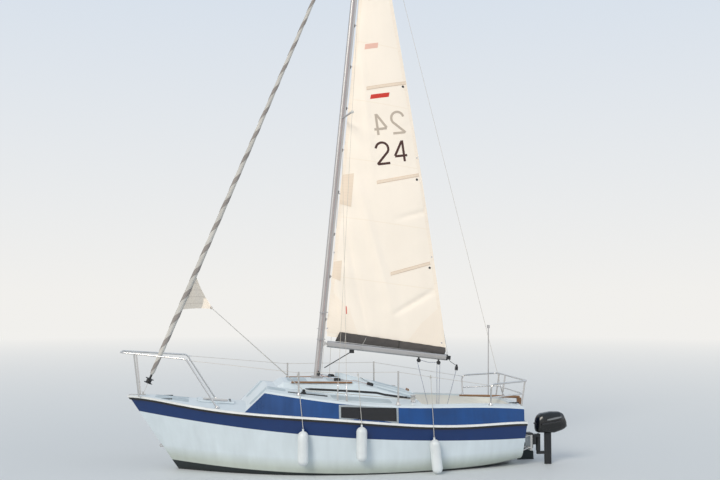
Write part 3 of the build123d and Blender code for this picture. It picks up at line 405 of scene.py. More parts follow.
FINISH = {
    "deck_white": finish("deck gelcoat", SHADED_WHITE, 0.38, 0.10, 0.05, bump=0.15, grain_scale=500),
    "liner": finish("moulded liner", (0.78, 0.78, 0.74), 0.45, 0.10, bump=0.1),
    "white_rail": finish("white strake", (0.80, 0.81, 0.79), 0.45, 0.16, 0.1, scale=2.0, bump=0.1),
    "black_rubber": finish("rubber strip", (0.016, 0.017, 0.018), 0.65, 0.3, bump=0.3),
    "antifouling": finish("antifouling paint", (0.02, 0.028, 0.03), 0.8, 0.5, 0.3, scale=3.0, bump=0.5,
                          grain_scale=90),
    "aluminium": finish("anodised aluminium", (0.50, 0.48, 0.47), 0.42, 0.10, bump=0.12, grain_scale=900,
                        grain_z=0.05, metal=0.85),
    "stainless": finish("polished stainless", (0.62, 0.60, 0.58), 0.27, 0.10, bump=0.05, grain_scale=900,
                        metal=1.0),
    "motor_black": finish("gloss black cowl", (0.003, 0.0035, 0.004), 0.28, 0.3, bump=0.04, grain_scale=900,
                          coat=0.2),
    "motor_metal": finish("painted casting", (0.009, 0.010, 0.012), 0.5, 0.5, bump=0.25, grain_scale=500),
    "black_plastic": finish("black plastic", (0.018, 0.018, 0.019), 0.5, 0.3, bump=0.2, grain_scale=700),
    "sailcloth": finish("sailcloth", (0.88, 0.84, 0.76), 0.7, 0.06, bump=0.1),
    "canvas": finish("canvas", (0.075, 0.068, 0.064), 0.85, 0.2, bump=0.3),
    # The furled sail's mid grey is painted shade on a pale cloth.
    "furled_sail": finish("furled sail", (0.52, 0.50, 0.47), 0.8, 0.15, bump=0.3),
    "fender_vinyl": finish("fender vinyl", (0.70, 0.74, 0.75), 0.35, 0.14, 0.08, scale=3.0, bump=0.05),
    "wood": finish("oiled teak", (0.25, 0.13, 0.06), 0.5, 0.5, bump=0.35, grain_scale=160, grain_x=0.08,
                   grain_z=1.5),
}
print(len(FINISH), "plain finishes")

# %% [markdown]
# The topsides are one moulding in three colours: dark paint below the water, white gelcoat, and a deep blue
# band under the strake. The white is tinted blue grey, which is painted shade. The two paint lines come from
# the group above. A third, soft line darkens the white to a grey green towards the water.
# %% Hull finish
STRIPE_LINE = dict(Height=0.55, Slope=0.078, Curve=0.011, Softness=0.004)
BOOT_LINE = dict(Height=0.028, Slope=0.0206, Curve=0.01274, Softness=0.006)
# The third line: the white turns darker and grey green towards the water.
LOW_FADE_LINE = dict(Height=0.16, Slope=0.0206, Curve=0.01274, Softness=0.16)


def over(tree, mask, below, above):
    """A colour that turns from one to another with a mask."""
    node = add(tree, "ShaderNodeMix", data_type="RGBA")
    tree.links.new(mask, node.inputs["Factor"])
    for label, value in (("A", below), ("B", above)):
        if isinstance(value, tuple):
            node.inputs[label].default_value = (*value, 1)
        else:
            tree.links.new(value, node.inputs[label])
    return node.outputs["Result"]


hull_paint = finish("painted hull", SHADED_WHITE, 0.36, 0.10, 0.10, bump=0.03, grain_scale=700, coat=0.06)
tree = hull_paint.node_tree
low_fade = place_group(tree, paint_line, **LOW_FADE_LINE)
boot = place_group(tree, paint_line, **BOOT_LINE)
stripe = place_group(tree, paint_line, **STRIPE_LINE)
white = over(tree, low_fade.outputs["Above"], (0.50, 0.55, 0.50), SHADED_WHITE)
banded = over(tree, boot.outputs["Above"], (0.012, 0.018, 0.02), white)
banded = over(tree, stripe.outputs["Above"], banded, DEEP_BLUE)
recoloured(tree, banded)
FINISH["hull_white"] = hull_paint
FINISH["side_blue"] = finish("faded blue side", SIDE_BLUE, 0.42, 0.5, 0.35, scale=0.8, bump=0.05)
print("hull lines", STRIPE_LINE["Height"], BOOT_LINE["Height"])

# %% Window finish
glass = bpy.data.materials.new("smoked acrylic")
glass.use_nodes = True
shader = glass.node_tree.nodes["Principled BSDF"]
shader.inputs["Base Color"].default_value = (0.055, 0.060, 0.075, 1)
shader.inputs["Roughness"].default_value = 0.06
shader.inputs["Transmission Weight"].default_value = 0.85
shader.inputs["IOR"].default_value = 1.49
FINISH["window_glass"] = glass
print("window finish", glass.name)

# %% [markdown]
# Wire is laid from thin strands, so it never gleams like a polished rail. A single bright line in front of
# the sail would also break up into sparks at the size of a pixel. So the stays get a duller metal of their
# own, and the window frames a greyer one.
# %% Give every frame piece its finish
WIRE = finish("laid wire", (0.56, 0.51, 0.44), 0.55, 0.2, bump=0.3, grain_scale=1500, metal=0.35)
FRAME_GREY = finish("window frame", (0.36, 0.40, 0.42), 0.4, 0.2, bump=0.1, metal=0.6)
OWN_FINISH = dict.fromkeys(("port_shrouds", "starboard_shrouds", "lifelines", "backstay", "forestay"), WIRE)
OWN_FINISH["window_frames"] = FRAME_GREY
for label, node in NODES.items():
    for slot in node.material_slots:
        slot.material = OWN_FINISH.get(label, FINISH[slot.material.name.split(".")[0]])
print("finished", len(NODES), "frame pieces")

# %% [markdown]
# New pieces are made in two ways here. Small gear starts as a primitive that is shaped in edit mode, as by
# hand. Cloth, rope and whatever lies on a curved surface starts as rows of points from a short formula,
# because a formula gives a fair curve and an even mesh, which pulling points about does not.
# %% Helpers for meshes
def own_mesh(name, points, faces):
    """An object in the scene from points and faces."""
    mesh = bpy.data.meshes.new(name)
    mesh.from_pydata([tuple(p) for p in points], [], faces)
    item = bpy.data.objects.new(name, mesh)
    scene.collection.objects.link(item)
    return item


def write_map(item, value_of):
    """A UV map whose values come from each corner's point number."""
    layer = item.data.uv_layers.new(name="UVMap")
    for loop in item.data.loops:
        layer.data[loop.index].uv = value_of(loop.vertex_index)


def grid(name, rows, width=1.0, length=1.0):
    """A mesh through rows of points. Its map runs in metres, width across a row and length over the rows."""
    across = len(rows[0])
    faces = []
    for r in range(len(rows) - 1):
        for k in range(across - 1):
            first = r * across + k
            faces.append((first, first + 1, first + 1 + across, first + across))
    item = own_mesh(name, [p for row in rows for p in row], faces)
    last = len(rows) - 1
    write_map(item, lambda i: (i % across / (across - 1) * width, i // across / last * length))
    return item


def wrapped(count, sides):
    """The faces of a closed tube of rings, and then those of its two ends."""
    faces = []
    for r in range(count - 1):
        for k in range(sides):
            after = (k + 1) % sides
            faces.append((r * sides + k, r * sides + after, (r + 1) * sides + after, (r + 1) * sides + k))
    last = (count - 1) * sides
    return faces + [tuple(reversed(range(sides))), tuple(last + k for k in range(sides))]


def modify(item, kind, **values):
    """Adds a modifier and applies it."""
    modifier = item.modifiers.new(kind.lower(), kind)
    for key, value in values.items():
        setattr(modifier, key, value)
    bpy.context.view_layer.objects.active = item
    bpy.ops.object.modifier_apply(modifier=modifier.name)


def skin(name, rows, thick, width=1.0, length=1.0):
    """A thin piece through rows of points."""
    item = grid(name, rows, width, length)
    modify(item, "SOLIDIFY", thickness=thick, offset=0.0)
    return item


def deselect():
    bpy.ops.object.select_all(action="DESELECT")


def pick(item):
    """Makes one object the only one selected, and the active one."""
    deselect()
    item.select_set(True)
    bpy.context.view_layer.objects.active = item


def settle(*items):
    """Applies each object's own place, turn and size to its mesh."""
    for item in items:
        pick(item)
        bpy.ops.object.transform_apply(location=True, rotation=True, scale=True)


def face_outwards(item):
    """Turns every face of a closed mesh outwards."""
    pick(item)
    bpy.ops.object.mode_set(mode="EDIT")
    bpy.ops.mesh.select_all(action="SELECT")
    bpy.ops.mesh.normals_make_consistent(inside=False)
    bpy.ops.object.mode_set(mode="OBJECT")


def ready(item, body, finish, angle=35):
    """Gives a piece its finish and body. One that crosses a joint has no body of its own."""
    settle(item)
    bpy.ops.object.shade_smooth_by_angle(angle=radians(angle))
    item.data.materials.clear()
    item.data.materials.append(finish)
    if body:
        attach(item, body)
    return item


def joined(name, items):
    """Several objects made into one."""
    deselect()
    for item in items:
        item.select_set(True)
    bpy.context.view_layer.objects.active = items[0]
    bpy.ops.object.join()
    items[0].name = name
    return items[0]


# %% [markdown]
# The mast rakes aft, and the boom turns about the line of the luff, so that line is the first thing that
# the sail needs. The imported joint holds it: a point and a direction. The boom's own axis runs from the
# gooseneck to its end.
# %% Lines of the rig
SWING = next(j for j in frame["record"]["behaviour"]["joints"] if j["name"] == "boom_swing")
LUFF_POINT = Vector(SWING["pos_m"])
LUFF_UP = Vector(SWING["axis"]).normalized()
GOOSENECK_Z = 1.8
BOOM_END = Vector((-1.840, 0, 1.570))
BOOM_HALF = 0.048


def on_luff(z):
    """The point of the luff line at a height."""
    return LUFF_POINT + LUFF_UP * ((z - LUFF_POINT.z) / LUFF_UP.z)


BOOM_AIM = (BOOM_END - on_luff(GOOSENECK_Z)).normalized()
BOOM_UP = Vector((BOOM_AIM.z, 0, -BOOM_AIM.x))


def on_boom(along, height=0.0, side=0.0):
    """A point beside the boom: distance along it, height over its top and distance to port."""
    return on_luff(GOOSENECK_Z) + BOOM_AIM * along + BOOM_UP * (BOOM_HALF + height) + Vector((0, side, 0))


print("luff leans", round(atan2(-LUFF_UP.x, LUFF_UP.z) * 180 / pi, 1), "degrees aft")

# %% [markdown]
# Woven cloth shows its threads close up, its panels from a distance, and the crossing of light through two
# layers at each seam as a darker line. The weave is a product of two waves in the cloth's own map, which is
# in metres, so it has the right size on every piece.
# %% Weave group
weave, ins, outs = new_group(
    "weave",
    [("Threads", FLOAT, 700.0), ("Panel", FLOAT, 0.9), ("Seam", FLOAT, 0.012)],
    [("Height", FLOAT), ("Line", FLOAT)],
)
split = axes(weave, own_map=True)
turns = maths(weave, "MULTIPLY", ins.outputs["Threads"], 2 * pi)
warp = maths(weave, "SINE", maths(weave, "MULTIPLY", split.outputs["X"], turns))
weft = maths(weave, "SINE", maths(weave, "MULTIPLY", split.outputs["Y"], turns))
weave.links.new(maths(weave, "MULTIPLY", warp, weft), outs.inputs["Height"])
within = maths(weave, "FRACT", maths(weave, "DIVIDE", split.outputs["Y"], ins.outputs["Panel"]))
near = maths(weave, "MULTIPLY", within, ins.outputs["Panel"])
weave.links.new(maths(weave, "LESS_THAN", near, ins.outputs["Seam"]), outs.inputs["Line"])
print("group", weave.name)


def cloth(name, colour, seam, roughness, threads=700.0, panel=0.9, line=0.014, patches=0.06, streaks=0.03,
          bump=0.2):
    """A cloth with weave, panels and soft stains; seam is the colour where two layers lie."""
    material = finish(name, colour, roughness, patches, streaks, scale=0.7)
    tree = material.node_tree
    woven = place_group(tree, weave, Threads=threads, Panel=panel, Seam=line)
    recoloured(tree, over(tree, woven.outputs["Line"], colour, seam))
    raised = maths(tree, "ADD", woven.outputs["Height"], maths(tree, "MULTIPLY", woven.outputs["Line"], 2.0))
    bumped(tree, raised, bump, 0.0004)
    return material


# %% Cloth finishes
SAIL_COLOUR = (0.98, 0.885, 0.765)
SAIL_SEAM = (0.955, 0.850, 0.715)
sailcloth = cloth("warm sailcloth", SAIL_COLOUR, SAIL_SEAM, 0.62, panel=0.92, line=0.016)
# The doubled cloth is darker and warmer than one layer: painted shade of the light that crosses two layers.
doubled = cloth("doubled sailcloth", (0.965, 0.855, 0.725), (0.93, 0.81, 0.67), 0.62, panel=0.06, line=0.004,
                bump=0.4)
cover_cloth = cloth("acrylic canvas", (0.085, 0.076, 0.072), (0.05, 0.045, 0.042), 0.9, threads=420,
                    panel=0.9, line=0.02, patches=0.35, streaks=0.25, bump=0.6)
dark_vinyl = finish("number vinyl", (0.060, 0.020, 0.014), 0.6, 0.2, bump=0.1)
seen_through = finish("number seen through the cloth", (0.52, 0.44, 0.36), 0.62, 0.1, bump=0.1)
red_vinyl = finish("red sail band", (0.62, 0.035, 0.02), 0.5, 0.15, bump=0.1)
red_through = finish("red band seen through", (0.84, 0.52, 0.42), 0.6, 0.1, bump=0.1)
print("cloth finishes", sailcloth.name, cover_cloth.name)

# %% [markdown]
# The mainsail is held along the mast by slides, so between two slides its edge falls back a little and
# small creases run out from each slide. Its body is a shallow curve, deepest a little forward of the
# middle. Long soft folds run down from the luff, and two hard ones reach the leech. Each is one row of a
# table: a line across the sail, a width and a height. A cloth simulation would find its own folds, and
# these have to be the ones that the sail has.
# %% Shape of the mainsail
TACK_Z = 1.905
HEAD_Z = 8.535
CLEW = (-1.835, 1.665)
HEAD_BACK_Z = 8.498
LEECH_POINTS = ((-1.850, 1.660), (-1.250, 5.710), (-0.745, 8.500))
BELLY = ((1.5, 0.004), (3.6, 0.085), (8.7, 0.006))
DEEPEST = 0.45
SLIDE_FIRST = 2.16
SLIDE_PITCH = 0.64
SCALLOP = 0.024
SLIDE_RIPPLE = 0.011
LEECH_CURL = 0.010
DRAPE = 0.006
# Folds, columns: x and z where one starts, x and z where it ends, half width, height to port
FOLDS = (
    (-0.36, 4.60, -1.06, 2.05, 0.070, 0.022),
    (-0.20, 3.90, -0.62, 1.90, 0.055, -0.020),
    (-0.10, 3.10, -0.30, 1.80, 0.040, 0.014),
    (-0.48, 6.60, -0.72, 4.10, 0.060, 0.014),
    (-0.52, 3.70, -1.30, 1.80, 0.080, 0.010),
    (-0.98, 2.20, -1.80, 2.66, 0.040, -0.026),
    (-1.02, 3.66, -1.66, 3.83, 0.036, -0.018),
    (-1.00, 5.00, -1.42, 5.20, 0.040, -0.006),
    (-0.20, 5.20, -0.50, 5.06, 0.030, 0.010),
    (-0.08, 4.02, -0.40, 3.88, 0.030, 0.010),
    (-0.28, 6.10, -0.52, 5.98, 0.028, 0.008),
)


def leech_x(z):
    """The leech as the quadratic through its three points."""
    total = 0.0
    for k, (x, at) in enumerate(LEECH_POINTS):
        share = 1.0
        for j, (_, other) in enumerate(LEECH_POINTS):
            if j != k:
                share *= (z - other) / (at - other)
        total += share * x
    return total


def belly(u, z):
    """How far the sail stands to port at a share of its chord and a height."""
    (low, low_deep), (full, full_deep), (top, top_deep) = BELLY
    if z < full:
        deep = low_deep + (full_deep - low_deep) * max(0.0, (z - low) / (full - low))
    else:
        deep = full_deep + (top_deep - full_deep) * (z - full) / (top - full)
    side = (u - DEEPEST) / (DEEPEST if u < DEEPEST else 1 - DEEPEST)
    return deep * (1 - side * side)


def fold(row, x, z):
    """The height of one fold at a point: a soft ridge along a line, faded out at both ends."""
    x0, z0, x1, z1, wide, high = row
    along = ((x - x0) * (x1 - x0) + (z - z0) * (z1 - z0)) / ((x1 - x0) ** 2 + (z1 - z0) ** 2)
    if not 0 < along < 1:
        return 0.0
    off = hypot(x - x0 - along * (x1 - x0), z - z0 - along * (z1 - z0))
    return high * exp(-((off / wide) ** 2)) * sin(pi * along) ** 0.7


def sail_point(u, v):
    """A point of the sail: u from luff to leech, v from foot to head."""
    z = CLEW[1] + (HEAD_BACK_Z - CLEW[1]) * v
    point = on_luff(TACK_Z + (HEAD_Z - TACK_Z) * v).lerp(Vector((leech_x(z), 0, z)), u)
    beat = 2 * pi * (point.z - SLIDE_FIRST) / SLIDE_PITCH
    room = point.x - leech_x(point.z)
    edge = on_luff(point.z).x - point.x
    point.x -= SCALLOP * (0.5 - 0.5 * cos(beat)) * (1 - u) ** 14
    ripple = SLIDE_RIPPLE * cos(beat) * (1 - exp(-edge / 0.05)) * exp(-edge / 0.28) * min(1.0, room * 2)
    curl = -LEECH_CURL * exp(-room / 0.05) * (0.6 + 0.4 * sin(5 * point.z))
    soft = DRAPE * noise.noise(Vector((point.x * 3, 0, point.z * 1.3))) * min(1.0, edge * 5)
    held = min(1.0, edge / 0.04) * min(1.0, (point.z - 1.6) / 0.35) * min(1.0, (8.55 - point.z) / 0.4)
    folds = sum(fold(row, point.x, point.z) for row in FOLDS)
    shape = belly(u, point.z) + folds + ripple + curl + soft
    point.y = max(shape * held, -0.004)
    return point


# %% Cut the mainsail
SAIL_ACROSS = 72
SAIL_ALONG = 230
SAIL_THICK = 0.0012
rows = []
for r in range(SAIL_ALONG + 1):
    rows.append([sail_point(k / SAIL_ACROSS, r / SAIL_ALONG) for k in range(SAIL_ACROSS + 1)])
mainsail = grid("mainsail_cloth", rows, 1.9, 6.8)
SAIL = surface_of(mainsail.data)
cut = sum(f.area for f in mainsail.data.polygons)
modify(mainsail, "SOLIDIFY", thickness=SAIL_THICK, offset=0.0)
ready(mainsail, "boom", sailcloth, 60)
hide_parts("mainsail")
print("mainsail", round(cut, 2), "square metres")

# %% [markdown]
# A sail has much sewn to it: doubled corners, tapes along its edges, batten pockets and a number on each
# side, which also shows through the cloth. All of these follow the sail's curve, so each is drawn flat, as
# a patch or as a ribbon along a stroke, and every point is then put on the cloth by a ray from the side.
# %% Helpers that lay pieces on the sail
def on_sail(x, z, side, lift):
    """The point of the sail at x and z, lifted off the cloth on one side."""
    hit = ray(SAIL, (x, side, z), (0, -side, 0))[0]
    if hit is None:
        hit = SAIL.find_nearest(Vector((x, 0, z)))[0]
    return Vector((x, hit.y + side * lift, z))


def ribbon(name, strokes, width, side, lift=0.0016, thick=0.0008):
    """Flat bands of one width along strokes, which are lists of close points (x, z)."""
    bands = []
    for stroke in strokes:
        rows = []
        for k, (x, z) in enumerate(stroke):
            before = stroke[max(k - 1, 0)]
            after = stroke[min(k + 1, len(stroke) - 1)]
            run = Vector((after[0] - before[0], after[1] - before[1])).normalized()
            places = [(x - run.y * width * s, z + run.x * width * s) for s in (-0.5, -0.17, 0.17, 0.5)]
            rows.append([on_sail(px, pz, side, lift) for px, pz in places])
        bands.append(skin(name, rows, thick, width, 0.03 * len(rows)))
    return joined(name, bands)


def patch(name, corners, side, lift=0.0016, thick=0.0008, step=0.03):
    """A four-cornered patch; corners are (x, z) in order, and two of them may be the same."""
    a, b, c, d = (Vector(p) for p in corners)
    down = max(2, int(max((d - a).length, (c - b).length) / step))
    across = max(2, int(max((b - a).length, (c - d).length) / step))
    rows = []
    for r in range(down + 1):
        left, right = a.lerp(d, r / down), b.lerp(c, r / down)
        places = [left.lerp(right, k / across) for k in range(across + 1)]
        rows.append([on_sail(p.x, p.y, side, lift) for p in places])
    return skin(name, rows, thick, across * step, down * step)


def straight(start, end, step=0.03):
    """Points from one (x, z) to another, a step apart."""
    count = max(2, int(hypot(end[0] - start[0], end[1] - start[1]) / step))
    return [(start[0] + (end[0] - start[0]) * k / count, start[1] + (end[1] - start[1]) * k / count)
            for k in range(count + 1)]


def mirror_sides(name, make):
    """The same piece made on both sides of the sail and joined."""
    return joined(name, [make(1), make(-1)])


# %% Edge tapes and corner patches
TAPE = 0.05
CORNER_REACH = 0.62
leech_line = [(leech_x(z) + TAPE / 2, z) for z in (1.74 + 0.06 * k for k in range(112))]
luff_line = [(on_luff(z).x - TAPE / 2 - 0.006, z) for z in (1.98 + 0.06 * k for k in range(109))]


def make_tapes(side):
    return ribbon("edge_tapes", [leech_line, luff_line], TAPE, side, 0.0014)


def make_corners(side):
    head = on_luff(HEAD_Z - 0.02).x - 0.01
    tack = on_luff(2.0).x - 0.01
    layers = []
    for k in range(3):
        reach = CORNER_REACH * (1 - 0.3 * k)
        lift = 0.0020 + 0.0009 * k
        low = HEAD_Z - reach
        outlines = (
            [(head, HEAD_Z - 0.03), (leech_x(8.46) + 0.004, 8.47), (leech_x(low) + 0.01, low),
             (on_luff(low).x - 0.012, low)],
            [(tack, 1.97), (tack - reach * 0.75, 1.93), (tack - reach * 0.55, 1.97 + reach * 0.55),
             (on_luff(2 + reach).x - 0.012, 1.97 + reach)],
            [(-1.80, 1.72), (leech_x(1.72 + reach) + 0.012, 1.72 + reach),
             (-1.80 + reach * 0.55, 1.72 + reach * 0.6), (-1.80 + reach, 1.745)],
        )
        layers += [patch("corner", outline, side, lift) for outline in outlines]
    return joined("corner_patches", layers)


for name, make in (("edge_tapes", make_tapes), ("corner_patches", make_corners)):
    ready(mirror_sides(name, make), "boom", doubled, 60)
print("tapes of", len(leech_line), "points")

# %% Batten pockets
# Columns: x and z at the fore end, x and z at the leech
BATTENS = ((-0.976, 2.838, -1.600, 3.006), (-0.761, 4.224, -1.425, 4.358), (-0.607, 5.665, -1.225, 5.777),
           (-0.640, 7.060, -0.985, 7.130))
POCKET = 0.036


def make_pockets(side):
    strokes = [straight((x0, z0), (x1, z1)) for x0, z0, x1, z1 in BATTENS]
    return ribbon("batten_pockets", strokes, POCKET, side, 0.0035, 0.0045)


def make_pocket_seams(side):
    strokes = []
    for x0, z0, x1, z1 in BATTENS:
        for edge in (POCKET * 0.6, -POCKET * 0.6):
            strokes.append(straight((x0, z0 + edge), (x1, z1 + edge)))
    return ribbon("pocket_seams", strokes, 0.008, side, 0.0024, 0.0012)


stitch = finish("waxed thread", (0.70, 0.55, 0.42), 0.7, 0.3, bump=0.5, grain_scale=1500)
# The pocket cloth is tan: painted shade of the light that crosses its layers.
pocket_cloth = cloth("pocket cloth", (0.86, 0.72, 0.575), (0.80, 0.66, 0.52), 0.65, panel=0.05, line=0.004)
ready(mirror_sides("batten_pockets", make_pockets), "boom", pocket_cloth, 60)
ready(mirror_sides("pocket_seams", make_pocket_seams), "boom", stitch, 60)
print(len(BATTENS), "batten pockets")

# %% Luff patches, tan as painted fold shade
# Columns: lower end, upper end and width
LUFF_SHADE_PATCHES = ((3.90, 4.34, 0.17), (2.78, 3.02, 0.12))


# The luff patches lie where folds between the slides shade the cloth, and their tan is that painted shade.
def make_luff_shade_patches(side):
    layers = []
    for low, high, wide in LUFF_SHADE_PATCHES:
        lower, upper = on_luff(low).x - 0.016, on_luff(high).x - 0.016
        outline = [(upper, high), (upper - wide, high + 0.02), (lower - wide, low - 0.05), (lower, low)]
        layers.append(patch("luff_shade_patch", outline, side, 0.0034))
    return joined("luff_shade_patches", layers)


ready(mirror_sides("luff_shade_patches", make_luff_shade_patches), "boom", pocket_cloth, 60)
print(len(LUFF_SHADE_PATCHES), "patches at the luff")

# %% [markdown]
# Round things on the sail, such as eyelets, rivets and the small black ties at the battens' ends, are one
# turned shape that is modelled once. It starts as a cylinder whose top is inset and pushed down, which
# makes a ring.
# %% Shape primitives in edit mode
def begin(kind, name, **values):
    """A primitive at the origin, ready to shape."""
    deselect()
    getattr(bpy.ops.mesh, kind)(**values)
    bpy.context.object.name = name
    return bpy.context.object


def choose(item, test, kind="FACE"):
    """Enters edit mode with only the faces, or edges, whose middle and normal pass a test."""
    bpy.ops.object.mode_set(mode="EDIT")
    bpy.ops.mesh.select_mode(type=kind)
    bpy.ops.mesh.select_all(action="DESELECT")
    shape = bmesh.from_edit_mesh(item.data)
    if kind == "FACE":
        for face in shape.faces:
            face.select_set(test(face.calc_center_median(), face.normal))
    else:
        for side in shape.edges:
            middle = (side.verts[0].co + side.verts[1].co) / 2
            side.select_set(test(middle, (side.verts[1].co - side.verts[0].co).normalized()))
    bmesh.update_edit_mesh(item.data)


def leave(item):
    bpy.ops.object.mode_set(mode="OBJECT")
    return item


def stretch(item, factors):
    """Resizes a primitive's mesh along its axes."""
    bpy.ops.object.mode_set(mode="EDIT")
    bpy.ops.transform.resize(value=factors)
    return leave(item)


def inset(thickness, depth=0.0):
    """Insets the chosen faces, and lifts them by a depth."""
    bpy.ops.mesh.inset(thickness=thickness, depth=depth)


def extrude(offset, factors=None):
    """Extrudes the chosen faces by an offset, and may resize them there."""
    bpy.ops.mesh.extrude_region_move(TRANSFORM_OT_translate={"value": offset})
    if factors:
        bpy.ops.transform.resize(value=factors)


def soften(item, width, segments=2):
    """Rounds every edge that is sharper than 30 degrees."""
    modify(item, "BEVEL", width=width, segments=segments, limit_method="ANGLE", angle_limit=radians(30))
    return item


def copies(name, model, places):
    """The model's mesh put at each place and joined to one object; the model itself goes."""
    items = []
    for place in places:
        mesh = model.data.copy()
        mesh.transform(place)
        item = bpy.data.objects.new(name, mesh)
        scene.collection.objects.link(item)
        items.append(item)
    bpy.data.objects.remove(model)
    return joined(name, items)


def gear(name, model, places, body="hull", slot="stainless"):
    """Copies of a model in the finish that has the same name as their slot."""
    return ready(copies(name, model, places), body, FINISH[slot])


def turned(at, aim, scale=1.0):
    """A place: the model's Z goes along aim."""
    turn = Vector(aim).to_track_quat("Z", "Y").to_matrix().to_4x4()
    return Matrix.Translation(Vector(at)) @ turn @ Matrix.Scale(scale, 4)


def upright(at, aim):
    """A place: the model's Z goes along aim, and its X stays as near to fore and aft as it can."""
    lean = Vector((0, 0, 1)).rotation_difference(aim).to_matrix().to_4x4()
    return Matrix.Translation(at) @ lean


def make_eyelet(radius=0.012, high=0.003):
    """A pressed ring: a disc with a dished top."""
    item = begin("primitive_cylinder_add", "eyelet", vertices=24, radius=radius, depth=high)
    choose(item, lambda c, n: abs(n.z) > 0.9)
    inset(radius * 0.35)
    inset(radius * 0.15, -high * 0.4)
    leave(item)
    return soften(item, high * 0.25)


# %% Eyelets, ties and headboard
DOTS = ((-1.590, 2.935), (-1.392, 4.285), (-1.178, 5.716))
EYES = ((-0.665, 8.36), (-0.015, 2.02), (-1.775, 1.79), (-0.12, 3.16), (leech_x(3.10) + 0.03, 3.10),
        (-0.20, 4.05), (leech_x(4.62) + 0.03, 4.62))
ties = [turned(on_sail(x, z, side, 0.003), (0, side, 0), 1.5) for x, z in DOTS for side in (1, -1)]
gear("batten_ties", make_eyelet(), ties, "boom", "black_plastic")
rings = [turned(on_sail(x, z, side, 0.0048), (0, side, 0)) for x, z in EYES for side in (1, -1)]
gear("sail_eyelets", make_eyelet(), rings, "boom")


def make_headboard(side):
    back = leech_x(8.47) + 0.012
    outline = [(-0.642, 8.515), (back, 8.475), (back - 0.004, 8.37), (-0.632, 8.395)]
    return patch("headboard", outline, side, 0.0065, 0.003, 0.02)


ready(mirror_sides("headboard", make_headboard), "boom", FINISH["aluminium"])
RIVETS = ((-0.655, 8.495), (-0.725, 8.468), (-0.728, 8.385), (-0.648, 8.41))
rivets = [turned(on_sail(x, z, side, 0.0085), (0, side, 0), 0.4) for x, z in RIVETS for side in (1, -1)]
gear("headboard_rivets", make_eyelet(), rivets, "boom")
print(len(ties), "ties,", len(rings), "eyelets")

# %% [markdown]
# The number is drawn with strokes of one width, as sail numbers are. Each side carries its own dark number,
# and a paler one, reversed, where the other side's number shows through the cloth. It is a plain number.
# %% Sail numbers
NUMBER_HIGH = 0.325
DIGIT_WIDE = 0.195
DIGIT_PITCH = 0.285
STROKE = 0.036
NUMBER_TILT = radians(8)


def arc(cx, cy, rx, ry, start, end):
    """Points of an ellipse's arc, in shares of the digit's box, angles in degrees."""
    turns = [radians(start + (end - start) * k / 16) for k in range(17)]
    return [(cx + rx * cos(a), cy + ry * sin(a)) for a in turns]


DIGITS = {
    "2": [arc(0.5, 0.70, 0.5, 0.30, 170, -35) + straight((0.90, 0.52), (0.02, 0.02), 0.08)
          + straight((0.08, 0.0), (1.0, 0.0), 0.08)],
    "4": [straight((0.74, 0.0), (0.74, 1.0), 0.08), straight((0.70, 0.98), (0.0, 0.30), 0.08),
          straight((0.0, 0.28), (1.0, 0.28), 0.08)],
}


def number(name, start, right, side):
    """The digits 2 and 4 from a lower corner; right is 1 where they read towards the bow."""
    strokes = []
    for k, digit in enumerate("24"):
        for line in DIGITS[digit]:
            points = []
            for a, b in line:
                across = k * DIGIT_PITCH + a * DIGIT_WIDE
                up = b * NUMBER_HIGH
                points.append((start[0] + right * (across * cos(NUMBER_TILT)) + up * sin(NUMBER_TILT),
                               start[1] - right * across * sin(NUMBER_TILT) + up * cos(NUMBER_TILT)))
            strokes.append(points)
    return ribbon(name, strokes, STROKE, side, 0.0018, 0.0006)


LOW_NUMBER = ((-0.777, 4.500), -1)
HIGH_NUMBER = ((-1.214, 5.010), 1)
for name, (start, right), side, paint in (
    ("number_port", LOW_NUMBER, 1, dark_vinyl),
    ("number_through_to_starboard", LOW_NUMBER, -1, seen_through),
    ("number_starboard", HIGH_NUMBER, -1, dark_vinyl),
    ("number_through_to_port", HIGH_NUMBER, 1, seen_through),
):
    ready(number(name, start, right, side), "boom", paint, 60)

LOW_BAND = [(-0.66, 5.50), (-0.95, 5.545), (-0.965, 5.615), (-0.675, 5.570)]
HIGH_BAND = [(-0.58, 6.27), (-0.78, 6.30), (-0.79, 6.38), (-0.59, 6.35)]
for name, corners, side, paint in (
    ("red_band_port", LOW_BAND, 1, red_vinyl),
    ("red_band_through_to_starboard", LOW_BAND, -1, red_through),
    ("red_band_starboard", HIGH_BAND, -1, red_vinyl),
    ("red_band_through_to_port", HIGH_BAND, 1, red_through),
):
    ready(patch(name, corners, side, 0.0018, 0.0006), "boom", paint, 60)
telltale = ribbon("telltale", [straight((-0.300, 2.35), (-0.304, 2.235), 0.02)], 0.012, 1, 0.004, 0.002)
ready(telltale, "boom", red_vinyl, 60)
print("numbers", NUMBER_HIGH, "m high")

# %% [markdown]
# The foot of the sail sits in a dark cover that stays on the boom: one cloth that runs from its port top
# edge down, under the foot of the sail and up to its starboard top edge. It is gathered, so it bulges
# between its lashings and is pinched under them. Each row of the mesh is that path, shaped by a half width
# that changes along the boom.
# %% Sail cover
COVER_FROM = 0.158
COVER_TO = 1.848
COVER_FRONT = 0.045
COVER_FORE_HIGH = 0.146
COVER_AFT_HIGH = 0.098
COVER_FOOT_HALF = 0.027
COVER_BOTTOM = 0.16
LASHINGS = (0.293, 0.615)
COVER_ROWS = 150
COVER_ACROSS = 40


def cover_high(s):
    """Height of the cover's edge over the boom at a distance along it."""
    full = COVER_FORE_HIGH + (COVER_AFT_HIGH - COVER_FORE_HIGH) * (s - COVER_FROM) / (COVER_TO - COVER_FROM)
    return min(full, 0.010 + (full - 0.010) * (s - COVER_FROM) / COVER_FRONT)


